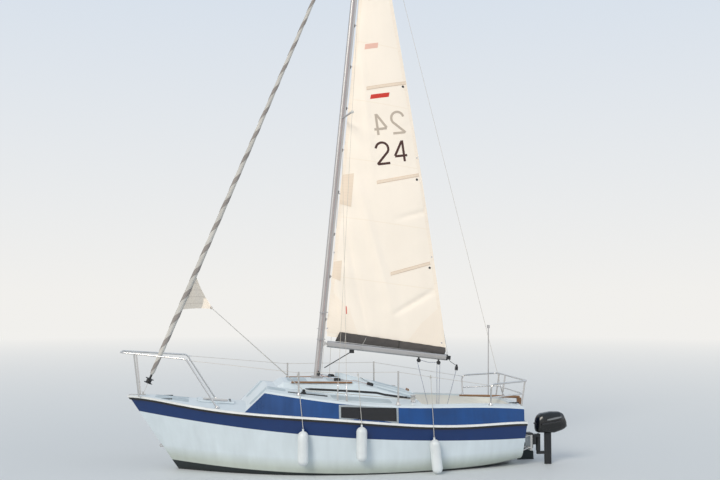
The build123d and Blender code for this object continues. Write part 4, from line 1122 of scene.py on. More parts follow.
def cover_point(share, s):
    """A point of the cover: share is -1 at its port edge, 0 under the sail and 1 at its other edge."""
    side = -1 if share > 0 else 1
    up = max(0.0, (abs(share) - COVER_BOTTOM) / (1 - COVER_BOTTOM))
    high = cover_high(s) * up
    pinch = sum(exp(-(((s - at) / 0.035) ** 2)) for at in LASHINGS)
    pleat = 0.5 + 0.5 * sin(31 * s + 3.0 * noise.noise(Vector((s * 4, side, 0.3))))
    puff = 0.006 + 0.006 * pleat * (1 - pinch) + 0.004 * noise.noise(Vector((s * 14, side * 2, up * 3)))
    half = COVER_FOOT_HALF * min(1.0, abs(share) / COVER_BOTTOM) + puff * sin(pi * up) - 0.014 * up ** 3
    spot = on_boom(s, high + 0.001)
    middle = max(0.0, on_sail(spot.x, max(spot.z, 1.70), 1, 0.0).y)
    sag = 0.003 * sin(19 * s + side) * up
    return on_boom(s, max(0.001, high + 0.001 - abs(sag)), side * half + middle * up)


rows = []
for r in range(COVER_ROWS + 1):
    s = COVER_FROM + (COVER_TO - COVER_FROM) * r / COVER_ROWS
    rows.append([cover_point(-1 + 2 * k / COVER_ACROSS, s) for k in range(COVER_ACROSS + 1)])
cover = grid("sail_cover_cloth", rows, 0.30, 1.60)
hems = [[row[k] for row in rows] for k in (0, COVER_ACROSS)]
cover_area = sum(f.area for f in cover.data.polygons)
modify(cover, "SOLIDIFY", thickness=0.0018, offset=0.0)
modify(cover, "SUBSURF", levels=1, render_levels=1)
ready(cover, "boom", cover_cloth, 60)
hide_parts("sail_cover")
print("cover", round(cover_area, 3), "square metres")

# %% [markdown]
# A rope is a round tube with braided strands. The tube follows points from one fitting to the next, and its
# map holds the turn round the rope and the metres along it. Two sets of waves that cross in that map make
# the braid, and every few strands one has the fleck's colour. Taut ropes run straight between their
# fittings.
# %% Braid group
braid, ins, outs = new_group(
    "braid",
    [("Strands", FLOAT, 6.0), ("Lay", FLOAT, 90.0), ("Fleck", FLOAT, 0.2)],
    [("Height", FLOAT), ("Fleck Mask", FLOAT)],
)
split = axes(braid, own_map=True)
round_it = maths(braid, "MULTIPLY", split.outputs["X"], ins.outputs["Strands"])
along_it = maths(braid, "MULTIPLY", split.outputs["Y"], ins.outputs["Lay"])
right_hand = maths(braid, "ADD", round_it, along_it)
left_hand = maths(braid, "SUBTRACT", round_it, along_it)
first = maths(braid, "SINE", maths(braid, "MULTIPLY", right_hand, 2 * pi))
second = maths(braid, "SINE", maths(braid, "MULTIPLY", left_hand, 2 * pi))
braid.links.new(maths(braid, "MAXIMUM", first, second), outs.inputs["Height"])
place_in = maths(braid, "FRACT", maths(braid, "DIVIDE", right_hand, 3.0))
braid.links.new(maths(braid, "LESS_THAN", place_in, ins.outputs["Fleck"]), outs.inputs["Fleck Mask"])


def rope_finish(name, colour, fleck, share):
    """A braided rope with a fleck of a second colour in a share of its strands."""
    material = finish(name, colour, 0.75, 0.2, 0.1, scale=4.0)
    tree = material.node_tree
    strands = place_group(tree, braid, Fleck=share)
    recoloured(tree, over(tree, strands.outputs["Fleck Mask"], colour, fleck))
    bumped(tree, strands.outputs["Height"], 0.8, 0.0008)
    return material


ROPE_PALE = rope_finish("pale braided rope", (0.62, 0.60, 0.55), (0.30, 0.33, 0.38), 0.16)
ROPE_BLUE = rope_finish("blue fleck rope", (0.60, 0.60, 0.58), (0.03, 0.09, 0.30), 0.34)
ROPE_RED = rope_finish("red fleck rope", (0.62, 0.60, 0.57), (0.42, 0.04, 0.03), 0.30)
ROPE_BLACK = rope_finish("black rope", (0.030, 0.030, 0.032), (0.10, 0.10, 0.10), 0.20)


def tube(name, points, radius, sides=8, step=0.06):
    """A closed round tube through points, with rings no further apart than a step."""
    line = [Vector(points[0])]
    for point in points[1:]:
        point = Vector(point)
        count = max(1, int((point - line[-1]).length / step))
        start = line[-1]
        line += [start.lerp(point, (k + 1) / count) for k in range(count)]
    rings, gone, across = [], [0.0], None
    for k, point in enumerate(line):
        aim = (line[min(k + 1, len(line) - 1)] - line[max(k - 1, 0)]).normalized()
        if across is None:
            across = aim.orthogonal().normalized()
        across = (across - aim * across.dot(aim)).normalized()
        other = aim.cross(across)
        rings.append([point + (across * cos(2 * pi * j / sides) + other * sin(2 * pi * j / sides)) * radius
                      for j in range(sides)])
        if k:
            gone.append(gone[-1] + (point - line[k - 1]).length)
    turns = []
    for low, high in zip(gone, gone[1:]):
        for j in range(sides):
            left, right = j / sides, (j + 1) / sides
            turns.append([(left, low), (right, low), (right, high), (left, high)])
    turns += [[(0, 0)] * sides, [(0, gone[-1])] * sides]
    item = own_mesh(name, [p for ring in rings for p in ring], wrapped(len(rings), sides))
    layer = item.data.uv_layers.new(name="UVMap")
    for face, values in zip(item.data.polygons, turns):
        for corner, value in zip(face.loop_indices, values):
            layer.data[corner].uv = value
    return item


def rope(name, points, radius, finish, body="hull"):
    """A taut rope between its fittings."""
    return ready(tube(name, points, radius), body, finish, 60)


# %% Lashings of the cover
def lashing(name, s, slant):
    """A cord round the cover and the boom, closed by a small knot on top."""
    top = cover_high(s) + 0.004
    foot = -2 * BOOM_HALF - 0.004
    half = 0.038
    part_way = s - slant * 0.4
    under = s - slant
    loop = [(s, top, 0.004), (s, top - 0.01, 0.022), (part_way, top * 0.5, half), (under, 0.0, 0.034),
            (under, foot + 0.02, 0.033), (under, foot, 0.012), (under, foot, -0.012),
            (under, foot + 0.02, -0.033), (under, 0.0, -0.034), (part_way, top * 0.5, -half),
            (s, top - 0.01, -0.020), (s, top, -0.004), (s + 0.004, top + 0.004, 0.006)]
    return tube(name, [on_boom(*p) + Vector((0, 0.006, 0)) for p in loop], 0.0032, step=0.02)


ready(joined("cover_lashings", [lashing("lashing", at, 0.05 * k) for k, at in enumerate(LASHINGS)]),
      "boom", ROPE_PALE, 60)
edge_lines = [tube("hem", hem, 0.0022, 6) for hem in hems]
ready(joined("cover_hems", edge_lines), "boom", cover_cloth, 60)
print(len(LASHINGS), "lashings")

# %% [markdown]
# The jib is rolled round its stay. A roll of cloth has one long edge that winds up it, so the mesh winds as
# well: each row is turned a little past the row below, and a ring's last point stands one layer further out
# than its first, which leaves a clean spiral step. The roll's mid grey is painted shade on a pale cloth. The
# outer strip is a band of darker cloth, made darker still by the same painted shade, and follows the same
# edge.
# %% Furled jib
STAY_FOOT = Vector((2.676, 0, 1.085))
STAY_HEAD = Vector((-0.522, 0, 8.735))
STAY = (STAY_HEAD - STAY_FOOT).normalized()
STAY_SIDE = Vector((0, 1, 0))
STAY_OUT = STAY_SIDE.cross(STAY)
ROLL_FROM = 0.300
ROLL_TO = (STAY_HEAD - STAY_FOOT).length * 0.95
ROLL_ROUND = 28
ROLL_ROWS = 520
WRAP_PITCH = 0.37
LAYER = 0.0042
STRIP_FROM = 0.62
JIB_SHADED_GREY = (0.56, 0.54, 0.50)


def roll_radius(along):
    """Radius of the roll over its own length: thin at the tack, thick at a metre, thin at the head."""
    if along < 0.9:
        return 0.028 + 0.011 * along / 0.9
    return 0.039 - 0.020 * (along - 0.9) / (ROLL_TO - ROLL_FROM - 0.9)


def roll_point(along, k):
    """A point of the spiral ring k steps from the cloth's edge."""
    turn = 2 * pi * (k / ROLL_ROUND + along / WRAP_PITCH)
    ends = min(1.0, along / 0.05, (ROLL_TO - ROLL_FROM - along) / 0.06)
    crease = 0.0022 * noise.noise(Vector((along * 9, cos(turn) * 1.3, sin(turn) * 1.3)))
    radius = (roll_radius(along) + LAYER * k / ROLL_ROUND + crease) * (0.4 + 0.6 * max(0.0, ends) ** 0.5)
    out = STAY_OUT * cos(turn) + STAY_SIDE * sin(turn)
    return STAY_FOOT + STAY * (ROLL_FROM + along) + out * radius


rows = []
for r in range(ROLL_ROWS + 1):
    along = (ROLL_TO - ROLL_FROM) * r / ROLL_ROWS
    ring = [roll_point(along, k) for k in range(ROLL_ROUND + 1)]
    rows.append(ring + [ring[0]])
roll = grid("furled_jib_roll", rows, 1.0, ROLL_TO - ROLL_FROM)
pick(roll)
bpy.ops.object.mode_set(mode="EDIT")
bpy.ops.mesh.select_mode(type="EDGE")
bpy.ops.mesh.select_all(action="SELECT")
bpy.ops.mesh.remove_doubles(threshold=0.0001)
bpy.ops.mesh.select_all(action="DESELECT")
bpy.ops.mesh.select_non_manifold()
bpy.ops.mesh.edge_face_add()
bpy.ops.mesh.select_all(action="SELECT")
bpy.ops.mesh.normals_make_consistent(inside=False)
bpy.ops.object.mode_set(mode="OBJECT")

jib_cloth = cloth("rolled jib cloth", JIB_SHADED_GREY, (0.36, 0.33, 0.30), 0.8, threads=300, panel=1.4,
                  line=0.02, patches=0.25, streaks=0.2)
tree = jib_cloth.node_tree
strip = maths(tree, "GREATER_THAN", axes(tree, own_map=True).outputs["X"], STRIP_FROM)
recoloured(tree, over(tree, strip, JIB_SHADED_GREY, (0.30, 0.27, 0.25)))
ready(roll, "hull", jib_cloth, 50)
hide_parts("furled_jib")
print("roll", round(ROLL_TO - ROLL_FROM, 2), "m long,", round((ROLL_TO - ROLL_FROM) / WRAP_PITCH), "turns")

# %% Clew of the jib
CLEW_TOP = Vector((1.935, 0.006, 2.80))
CLEW_FORE = Vector((2.130, 0.006, 2.31))
CLEW_POINT = Vector((1.682, 0.004, 2.315))
CLEW_STEPS = 26


def clew_point(t, u):
    """A point of the corner: t from its top to its foot, u from the roll to the free edge."""
    point = CLEW_TOP.lerp(CLEW_FORE, t).lerp(CLEW_TOP.lerp(CLEW_POINT, t), u)
    point.x += 0.022 * sin(pi * t) * u
    point.z += 0.012 * sin(pi * u) * t
    point.y += 0.008 * sin(3.2 * u + 2.4 * t) * t + 0.004 * sin(9 * u - 4 * t)
    return point


rows = [[clew_point(0.02 + 0.98 * r / CLEW_STEPS, k / CLEW_STEPS) for k in range(CLEW_STEPS + 1)]
        for r in range(CLEW_STEPS + 1)]
corner = skin("jib_clew", rows, 0.0014, 0.45, 0.53)
# The corner of the jib is grey by the same painted shade as the roll.
clew_cloth = cloth("jib corner", (0.60, 0.56, 0.50), (0.44, 0.40, 0.36), 0.75, threads=500, panel=0.11,
                   line=0.006)
ready(corner, "hull", clew_cloth, 60)
bands = []
for reach, lift in ((0.20, 0.0018), (0.13, 0.0030)):
    for side in (1, -1):
        rows = []
        for r in range(9):
            t = 1 - reach * 1.6 * (1 - r / 8)
            start = 1 - reach * 1.9 * (0.35 + 0.65 * r / 8)
            line = [clew_point(t, start + (1 - start) * k / 8) for k in range(9)]
            rows.append([point + Vector((0, side * lift, 0)) for point in line])
        bands.append(skin("clew_patch", rows, 0.0010, 0.2, 0.2))
ready(joined("clew_patches", bands), "hull", doubled, 60)
ring = begin("primitive_torus_add", "clew_ring", major_radius=0.017, minor_radius=0.0045, major_segments=28,
             minor_segments=10)
ring.data.transform(turned(CLEW_POINT + Vector((0.022, 0.001, 0.016)), (0, 1, 0)))
ready(ring, "hull", FINISH["stainless"])
print("clew at", [round(v, 2) for v in CLEW_POINT])

# %% [markdown]
# The running rigging leads where it would on the water: jib sheets from the clew through their cars to the
# winches, the mainsheet from its block in the cockpit to the boom, the topping lift from the boom's end to
# the masthead, and the halyards down the mast and aft over the coachroof. The mainsheet crosses the boom's
# joint, so its falls have no body of their own.
# %% Sheets of the jib
CAR_TOP = (0.412, 0.775, 1.178)
WINCH_SIDE = (-1.165, 0.765, 1.032)
COIL = 0.036
for side, name in ((1, "jib_sheet_port"), (-1, "jib_sheet_starboard")):
    start = CLEW_POINT + Vector((0.010, side * 0.004, 0.006))
    car = Vector((CAR_TOP[0], side * CAR_TOP[1], CAR_TOP[2]))
    drum = Vector((WINCH_SIDE[0], side * WINCH_SIDE[1], WINCH_SIDE[2]))
    points = [start, car + Vector((0.018, 0, 0.010)), car + Vector((-0.016, 0, -0.004)),
              drum + Vector((0.0, side * COIL, -0.006))]
    for k in range(40):
        turn = -pi * (k + 1) / 8
        points.append(drum + Vector((COIL * sin(turn), side * COIL * cos(turn), -0.006 + 0.0045 * k / 8)))
    rope(name, points, 0.0048, ROPE_PALE)
    print(name, "runs", round((car - start).length + (drum - car).length, 2), "m to its winch")

# %% Mainsheet and its blocks
SHEET_FOOT = Vector((-1.70, 0, 0.345))
END_BLOCK = Vector((-2.005, 0, 1.400))


def make_block(size=0.030):
    """A pulley: two rounded cheeks, a sheave between them and a pin."""
    cheeks = []
    for side in (1, -1):
        cheek = begin("primitive_cylinder_add", "cheek", vertices=28, radius=size, depth=size * 0.16,
                      location=(0, side * size * 0.42, 0), rotation=(pi / 2, 0, 0))
        choose(cheek, lambda c, n: abs(n.z) > 0.9)
        inset(size * 0.55, size * 0.05)
        leave(cheek)
        cheeks.append(soften(cheek, size * 0.05))
    sheave = begin("primitive_cylinder_add", "sheave", vertices=28, radius=size * 0.86, depth=size * 0.56,
                   rotation=(pi / 2, 0, 0))
    choose(sheave, lambda c, n: abs(n.z) < 0.5)
    inset(size * 0.12, -size * 0.16)
    leave(sheave)
    neck = begin("primitive_cube_add", "neck", size=size * 0.7, location=(0, 0, size * 1.1))
    choose(neck, lambda c, n: n.z > 0.9)
    extrude((0, 0, size * 0.35), (0.5, 0.5, 1))
    leave(neck)
    settle(*cheeks, sheave, neck)
    return joined("block", cheeks + [sheave, soften(neck, size * 0.06)])


FORE_BLOCK = on_boom(1.46, -2 * BOOM_HALF - 0.045)
MID_BLOCK = on_boom(1.77, -2 * BOOM_HALF - 0.045)
hung = [turned(FORE_BLOCK, (0, 0, 1)), turned(MID_BLOCK, (0, 0, 1)), turned(END_BLOCK, (-0.12, 0, 1), 1.15)]
gear("boom_blocks", make_block(), hung, "boom", "black_plastic")
strop = [BOOM_END + Vector((-0.045, 0, -0.012)), BOOM_END + Vector((-0.065, 0, -0.06)),
         END_BLOCK + Vector((-0.004, 0, 0.040))]
rope("sheet_strop", strop, 0.004, ROPE_BLACK, "boom")

MAINSHEET = 0.0046
# Columns: name, upper block, and how far the rope's two ends stand off the upper block and the foot
FALLS = (
    ("mainsheet_fore", FORE_BLOCK, (0.024, 0.004, -0.008), (0.020, 0.004, 0)),
    ("mainsheet_middle", MID_BLOCK, (0.024, -0.004, -0.008), (0.004, -0.004, 0.01)),
    ("mainsheet_back", MID_BLOCK, (-0.024, -0.004, -0.008), (-0.010, 0.006, 0.01)),
    ("mainsheet_end", END_BLOCK, (0.004, 0, -0.030), (-0.022, 0, 0.004)),
)
for name, block, above, below in FALLS:
    ends = [SHEET_FOOT + Vector(below), block + Vector(above)]
    fall = ready(tube(name, ends, MAINSHEET, step=0.02), None, ROPE_BLUE, 60)
    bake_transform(fall)
between = [FORE_BLOCK + Vector((-0.02, 0.004, 0.004)),
           FORE_BLOCK.lerp(MID_BLOCK, 0.5) + Vector((0, 0, -0.012)),
           MID_BLOCK + Vector((0.02, 0.004, 0.004))]
rope("mainsheet_on_boom", between, MAINSHEET, ROPE_BLUE, "boom")
print(len(FALLS), "falls of the mainsheet")

# %% Topping lift, outhaul and reefing line
lift_foot = BOOM_END + Vector((-0.035, -0.012, 0.045))
lift_head = on_luff(8.70) + Vector((-0.01, -0.012, 0))
lift = [lift_foot, lift_foot + Vector((0.05, -0.022, 0.30)), lift_head]
rope("topping_lift", lift, 0.0028, ROPE_PALE, "boom")
outhaul = [Vector((-1.812, 0.012, 1.705)), BOOM_END + Vector((-0.020, 0.012, 0.040)),
           BOOM_END + Vector((0.004, 0.036, -0.004)), on_boom(1.30, -BOOM_HALF, 0.0345)]
rope("outhaul", outhaul, 0.003, ROPE_PALE, "boom")
reef = [on_boom(1.55, 0.004, -0.034), on_boom(1.52, -BOOM_HALF, -0.0345), on_boom(0.42, -BOOM_HALF, -0.0345)]
rope("reef_line", reef, 0.003, ROPE_RED, "boom")
print("topping lift", round((lift_head - lift_foot).length, 2), "m")

# %% Lines of the mast
MAST_FOOT = Vector((0.140, 0, 1.290))
MAST_TOP = Vector((-0.590, 0, 8.780))
MAST_AIM = (MAST_TOP - MAST_FOOT).normalized()
MAST_FORE = Vector((MAST_AIM.z, 0, -MAST_AIM.x))


def by_mast(z, forward=0.0, side=0.0):
    """A point beside the mast's centre line at a height."""
    middle = MAST_FOOT + MAST_AIM * ((z - MAST_FOOT.z) / MAST_AIM.z)
    return middle + MAST_FORE * forward + Vector((0, side, 0))


print("mast leans", round(atan2(-MAST_AIM.x, MAST_AIM.z) * 180 / pi, 1), "degrees aft")

# %% [markdown]
# Gear on a deck sits flush on curved mouldings. The height of the moulding under a point is found by a ray
# that goes down to the frame's own meshes, and a fitting on a side by a ray across the boat. So nothing
# floats or sinks in, and no height has to be measured by eye.
# %% Rays to the frame
def surface_named(*names):
    """One search tree over pieces of the frame."""
    return surface_of(*(NODES[name].data for name in names))


DECK = surface_named("raised_deck", "coachroof", "foredeck", "cockpit", "forehatch", "forehatch_rim")
SIDES = surface_named("raised_deck", "raised_sides", "coachroof", "window_frames")


def down_to(surface, x, y, top=2.0):
    """Where a ray from above meets a surface, and the surface's direction there."""
    return ray(surface, (x, y, top), (0, 0, -1))


def across_to(surface, x, z, side):
    """Where a ray from port or starboard meets a surface, and the surface's direction there."""
    return ray(surface, (x, side * 2, z), (0, -side, 0))


print("deck at the mast", round(down_to(DECK, 0.3, 0)[0].z, 3), "m up")

# %% Slides of the mainsail
SLIDES = [SLIDE_FIRST + SLIDE_PITCH * k for k in range(10)]


def make_slide():
    """A flat slug with a waist, as it sticks out of the groove."""
    slug = begin("primitive_cube_add", "slide", size=0.014)
    stretch(slug, (0.55, 0.9, 3.4))
    choose(slug, lambda c, n: n.x < -0.9)
    inset(0.002)
    extrude((-0.004, 0, 0), (1, 0.6, 0.5))
    leave(slug)
    return soften(slug, 0.0012)


slots = [upright(by_mast(z, -0.051), MAST_AIM) for z in SLIDES]
gear("luff_slides", make_slide(), slots, slot="black_plastic")
loop = begin("primitive_torus_add", "loop", major_radius=0.0075, minor_radius=0.0022, major_segments=20,
             minor_segments=8)
places = [turned(on_luff(z), LUFF_UP) for z in SLIDES]
ready(copies("slide_loops", loop, places), "boom", cover_cloth)
print(len(SLIDES), "slides")

# %% [markdown]
# A bottle screw takes up the slack of a wire: a barrel with a threaded stud at each end and a fork round
# the plate. One is modelled upright, from the fork's pin upwards, and put at the foot of each wire along
# the wire's own line.
# %% Bottle screws
def make_bottle_screw():
    """The barrel with both studs, a fork and its pin."""
    barrel = begin("primitive_cylinder_add", "barrel", vertices=16, radius=0.0085, depth=0.09,
                   location=(0, 0, 0.085))
    choose(barrel, lambda c, n: abs(n.z) > 0.9)
    inset(0.0020, 0.004)
    inset(0.0022)
    inset(0.0001, 0.026)
    leave(barrel)
    fork = begin("primitive_cube_add", "fork", size=0.02, location=(0, 0, 0.004))
    choose(fork, lambda c, n: n.z > 0.9)
    extrude((0, 0, 0.012), (0.5, 0.5, 1))
    leave(fork)
    pin = begin("primitive_cylinder_add", "pin", vertices=12, radius=0.0045, depth=0.034,
                rotation=(pi / 2, 0, 0))
    choose(pin, lambda c, n: abs(n.z) > 0.9)
    inset(0.001, 0.001)
    leave(pin)
    settle(barrel, fork, pin)
    return joined("bottle_screw", [soften(barrel, 0.001), soften(fork, 0.002), pin])


wires = []
for side in (1, -1):
    cap_foot = Vector((-0.040, side * 0.985, 1.120))
    low_foot = Vector((-0.170, side * 0.985, 1.112))
    wires.append((cap_foot, by_mast(5.2, -0.062, side * 0.6045) - cap_foot))
    wires.append((low_foot, by_mast(5.08, 0, side * 0.0355) - low_foot))
BACKSTAY_FOOT = Vector((-2.80, -0.20, 0.965))
wires.append((BACKSTAY_FOOT, Vector((-0.770, 0, 8.765)) - BACKSTAY_FOOT))
gear("bottle_screws", make_bottle_screw(), [turned(foot, aim, 1.1) for foot, aim in wires])
rail_ends = []
for side in (1, -1):
    aft = Vector((-2.31, side * 0.835, 1.21))
    fore = Vector((2.06, side * 0.53, 1.60))
    rail_ends.append((aft, Vector((-0.9, side * 1.02, 1.435)) - aft))
    rail_ends.append((fore, Vector((0.5, side * 0.925, 1.435)) - fore))
gear("lifeline_screws", make_bottle_screw(), [turned(foot, aim, 0.55) for foot, aim in rail_ends])
print(len(wires) + len(rail_ends), "bottle screws")

# %% Base plates and screws
def make_screw(radius=0.0045):
    """A domed head with a slot."""
    head = begin("primitive_cylinder_add", "screw", vertices=12, radius=radius, depth=radius * 0.8)
    choose(head, lambda c, n: n.z > 0.9)
    inset(radius * 0.3, radius * 0.15)
    inset(radius * 0.3, -radius * 0.25)
    return leave(head)


def make_base():
    """A round deck plate with a raised socket for the rail's foot."""
    plate = begin("primitive_cylinder_add", "base", vertices=32, radius=0.040, depth=0.006)
    choose(plate, lambda c, n: n.z > 0.9)
    inset(0.018, 0.002)
    inset(0.004, 0.026)
    leave(plate)
    return soften(plate, 0.0012)


# Each leg of a rail: a point high on it and one below the deck
LEGS = [((x, side * y1, 1.40), (x, side * y0, 0.8)) for side in (1, -1)
        for x, y0, y1 in ((0.5, 0.903, 0.925), (-0.9, 0.998, 1.02))]
LEGS += [((2.06, side * 0.53, 1.60), (1.6, side * 0.61, 0.9)) for side in (1, -1)]
LEGS += [((-2.31, side * 0.830, 1.20), (-2.31, side * 0.775, 0.8)) for side in (1, -1)]
SCREW_RING = 0.031
bases, screws = [], []
for start, end in LEGS:
    spot, aim = ray(DECK, start, (Vector(end) - Vector(start)).normalized())
    bases.append(turned(spot + aim * 0.002, aim))
    for k in range(4):
        turn = pi / 4 + k * pi / 2
        around = turned(spot, aim) @ Vector((SCREW_RING * cos(turn), SCREW_RING * sin(turn), 0.007))
        screws.append(turned(around, aim))
gear("rail_bases", make_base(), bases)
gear("base_screws", make_screw(), screws)
print(len(bases), "bases with", len(screws), "screws")

# %% Screws of the window frames
FRAME_FOOT = ((-0.880, 0.735), (-0.060, 0.806))
FRAME_HEAD = ((-0.880, 0.956), (-0.060, 0.986))
spots = []
for k in range(10):
    for (x0, z0), (x1, z1) in (FRAME_FOOT, FRAME_HEAD):
        spots.append((x0 + (x1 - x0) * k / 9, z0 + (z1 - z0) * k / 9))
spots += [(-0.880, 0.81), (-0.880, 0.885), (-0.060, 0.865), (-0.060, 0.925)]
places = []
for side in (1, -1):
    for x, z in spots:
        spot, aim = across_to(SIDES, x, z, side)
        places.append(turned(spot + aim * 0.0012, aim, 0.9))
gear("frame_screws", make_screw(), places)
print(len(places), "frame screws")

# %% [markdown]
# Bare gelcoat is slippery, so the walked parts of a deck are moulded with a rough, slightly greyer pattern,
# with a smooth gutter between the panels. Here each panel is a thin skin with round corners that rays lay
# on the deck. Its material has small raised diamonds, from two crossing waves.
# %% Non-slip finish
diamonds, ins, outs = new_group("diamonds", [("Pitch", FLOAT, 0.012)], [("Height", FLOAT)])
split = axes(diamonds)
turns = maths(diamonds, "DIVIDE", 2 * pi, ins.outputs["Pitch"])
first = maths(diamonds, "ADD", split.outputs["X"], split.outputs["Y"])
second = maths(diamonds, "SUBTRACT", split.outputs["X"], split.outputs["Y"])
waves = [maths(diamonds, "SINE", maths(diamonds, "MULTIPLY", value, turns)) for value in (first, second)]
diamonds.links.new(maths(diamonds, "MULTIPLY", *waves), outs.inputs["Height"])

# Its blue grey is the same painted shade as the white gelcoat; that it is a little greyer is the non-slip's
# own.
grip = finish("non-slip deck", (0.50, 0.585, 0.63), 0.6, 0.22, 0.0, scale=1.6)
tree = grip.node_tree
bumped(tree, place_group(tree, diamonds, Pitch=0.012).outputs["Height"], 0.7, 0.0015)
print("group", diamonds.name)

# %% Non-slip panels
# Columns: aft x, fore x, inner y aft, inner y fore, outer y aft, outer y fore, ray's start height
PANELS = (
    (-0.84, 0.02, 0.620, 0.620, 0.930, 0.900, 2.0),
    (0.10, 0.44, 0.620, 0.560, 0.740, 0.730, 2.0),
    (0.66, 1.16, 0.520, 0.400, 0.735, 0.640, 2.0),
    (-2.62, -1.34, 0.330, 0.330, 0.560, 0.600, 0.9),
    (-0.24, 0.02, 0.060, 0.060, 0.360, 0.350, 2.0),
    (0.32, 0.60, 0.030, 0.030, 0.380, 0.350, 2.0),
    (2.02, 2.50, 0.030, 0.030, 0.350, 0.180, 2.0),
    (-1.22, -0.70, 0.340, 0.340, 0.470, 0.460, 2.0),
    (-2.48, -1.80, 0.020, 0.020, 0.220, 0.220, 0.5),
)
CORNER = 0.045
PANEL_STEP = 0.02


def trimmed(x, aft, fore, radius):
    """How much a round corner takes off a panel's side at x."""
    near = max(0.0, radius - min(x - aft, fore - x))
    return radius - max(0.0, radius ** 2 - near ** 2) ** 0.5


def panel(row, side):
    """A thin skin on the deck, with round corners."""
    aft, fore, inner_aft, inner_fore, outer_aft, outer_fore, top = row
    count = max(6, int((fore - aft) / PANEL_STEP))
    rows = []
    for k in range(count + 1):
        x = aft + (fore - aft) * k / count
        share = k / count
        trim = trimmed(x, aft, fore, CORNER)
        inner = inner_aft + (inner_fore - inner_aft) * share + trim
        outer = outer_aft + (outer_fore - outer_aft) * share - trim
        wide = max(6, int((outer_aft - inner_aft) / PANEL_STEP))
        line = []
        for j in range(wide + 1):
            y = side * (inner + (outer - inner) * j / wide)
            spot = down_to(DECK, x, y, top)[0]
            if spot is None:
                raise ValueError(f"no deck under a panel at {x:.2f}, {y:.2f}")
            line.append(spot + Vector((0, 0, 0.0012)))
        rows.append(line)
    item = skin("panel", rows, 0.0022)
    face_outwards(item)
    return item


skins = [panel(row, side) for row in PANELS for side in (1, -1)]
ready(joined("deck_panels", skins), "hull", grip, 40)
print(len(PANELS) * 2, "panels")

# %% Trim along the coachroof
TRIM_LINE = ((0.36, 1.166), (0.0, 1.146), (-0.35, 1.126), (-0.676, 1.100), (-0.80, 1.070), (-1.20, 1.012))


def trim_height(x):
    """Height of the trim at a distance along the boat."""
    for (x0, z0), (x1, z1) in zip(TRIM_LINE, TRIM_LINE[1:]):
        if x1 <= x <= x0:
            return z0 + (z1 - z0) * (x - x0) / (x1 - x0)
    return TRIM_LINE[-1][1]


TRIM_HALF = 0.015
TRIM_STEPS = 78
strips = []
for side in (1, -1):
    rows = []
    for k in range(TRIM_STEPS + 1):
        x = TRIM_LINE[0][0] - 0.02 * k
        wide = TRIM_HALF * min(1.0, 0.35 + min(k, TRIM_STEPS - k) / 6)
        line = []
        for s in (-1.0, -0.6, 0.0, 0.6, 1.0):
            spot, aim = across_to(SIDES, x, trim_height(x) + s * wide, side)
            line.append(spot + aim * 0.003 * (1 - s * s))
        rows.append(line)
    strips.append(skin("trim", rows, 0.003, 0.03, 1.6))
ready(joined("roof_trim", strips), "hull", FINISH["black_rubber"], 40)
print("trim of", len(TRIM_LINE), "corners")

# %% Fender ropes
FENDER_XS = (0.450, -0.355, -1.432)
TIED_TO = ((0.515, 0.926, 1.428), (-0.33, 0.978, 1.432), (-1.38, 0.957, 1.378))
OVER_RAIL = ((0, 0.008, -0.012), (0, 0.006, 0.006), (0, -0.008, 0.004), (0, -0.004, -0.016),
             (0.004, 0.010, -0.030))


def fender_tip(x, end):
    """The middle of a fender's upper end, where end is max, or of its lower end, where it is min."""
    near = [v.co for v in NODES["fenders"].data.vertices if abs(v.co.x - x) < 0.12]
    tip = end(p.z for p in near)
    level = [p for p in near if abs(p.z - tip) < 0.004]
    return sum(level, Vector()) / len(level)


ropes = []
for x, tie in zip(FENDER_XS, TIED_TO):
    middle = fender_tip(x, max)
    tie = Vector(tie)
    line = [middle + Vector((0, 0, -0.022)), middle + Vector((0, 0.002, 0.01))]
    line += [tie + Vector(offset) for offset in OVER_RAIL]
    ropes.append(tube("fender_rope", line, 0.0045, step=0.03))
    knot = [tie + Vector((0.010 * cos(a), 0.004 + 0.009 * sin(a), -0.024 - 0.004 * a / pi))
            for a in (pi * k / 5 for k in range(21))]
    ropes.append(tube("knot", knot, 0.0042, step=0.03))
ready(joined("fender_ropes", ropes), "hull", ROPE_PALE, 60)
print(len(FENDER_XS), "fender ropes")

# %% Halyards
LEADS = ((-0.12, 0.345), (-0.40, 0.362), (-0.60, 0.372))
# How far the halyards stand off the mast's centre line, columns: height, distance to the side
HALYARD = ((8.74, 0.030), (8.60, 0.040), (1.62, 0.050))


def mast_foot(side):
    """Where a block at the mast's foot turns a halyard aft."""
    return by_mast(1.352, -0.01, side * 0.088)


blocks = [turned(mast_foot(side), (0, -0.6 * side, 1), 0.9) for side in (1, -1)]
gear("mast_foot_blocks", make_block(), blocks, slot="black_plastic")
for side, name, paint in ((1, "main_halyard", ROPE_RED), (-1, "jib_halyard", ROPE_BLUE)):
    foot = mast_foot(side)
    points = [by_mast(z, 0.0, side * off) for z, off in HALYARD]
    points += [foot + Vector((0.018, 0, 0.012)), foot + Vector((-0.014, side * 0.010, -0.016))]
    points += [down_to(DECK, x, side * y)[0] + Vector((0, 0, 0.014)) for x, y in LEADS]
    rope(name, points, 0.0042, paint)


def make_clutch():
    """A rope clutch: a body with a sloped front and a lever on top."""
    body = begin("primitive_cube_add", "clutch", size=0.04)
    stretch(body, (2.4, 0.7, 0.9))
    choose(body, lambda c, n: n.z > 0.9)
    inset(0.004)
    extrude((0.010, 0, 0.010), (0.7, 0.8, 1))
    leave(body)
    return soften(body, 0.003, 3)


spots = [down_to(DECK, x, side * y) for side in (1, -1) for x, y in (LEADS[0], LEADS[2])]
seats = [upright(spot + aim * 0.016, aim) for spot, aim in spots]
gear("rope_clutches", make_clutch(), seats, slot="black_plastic")
print(len(seats), "rope clutches")


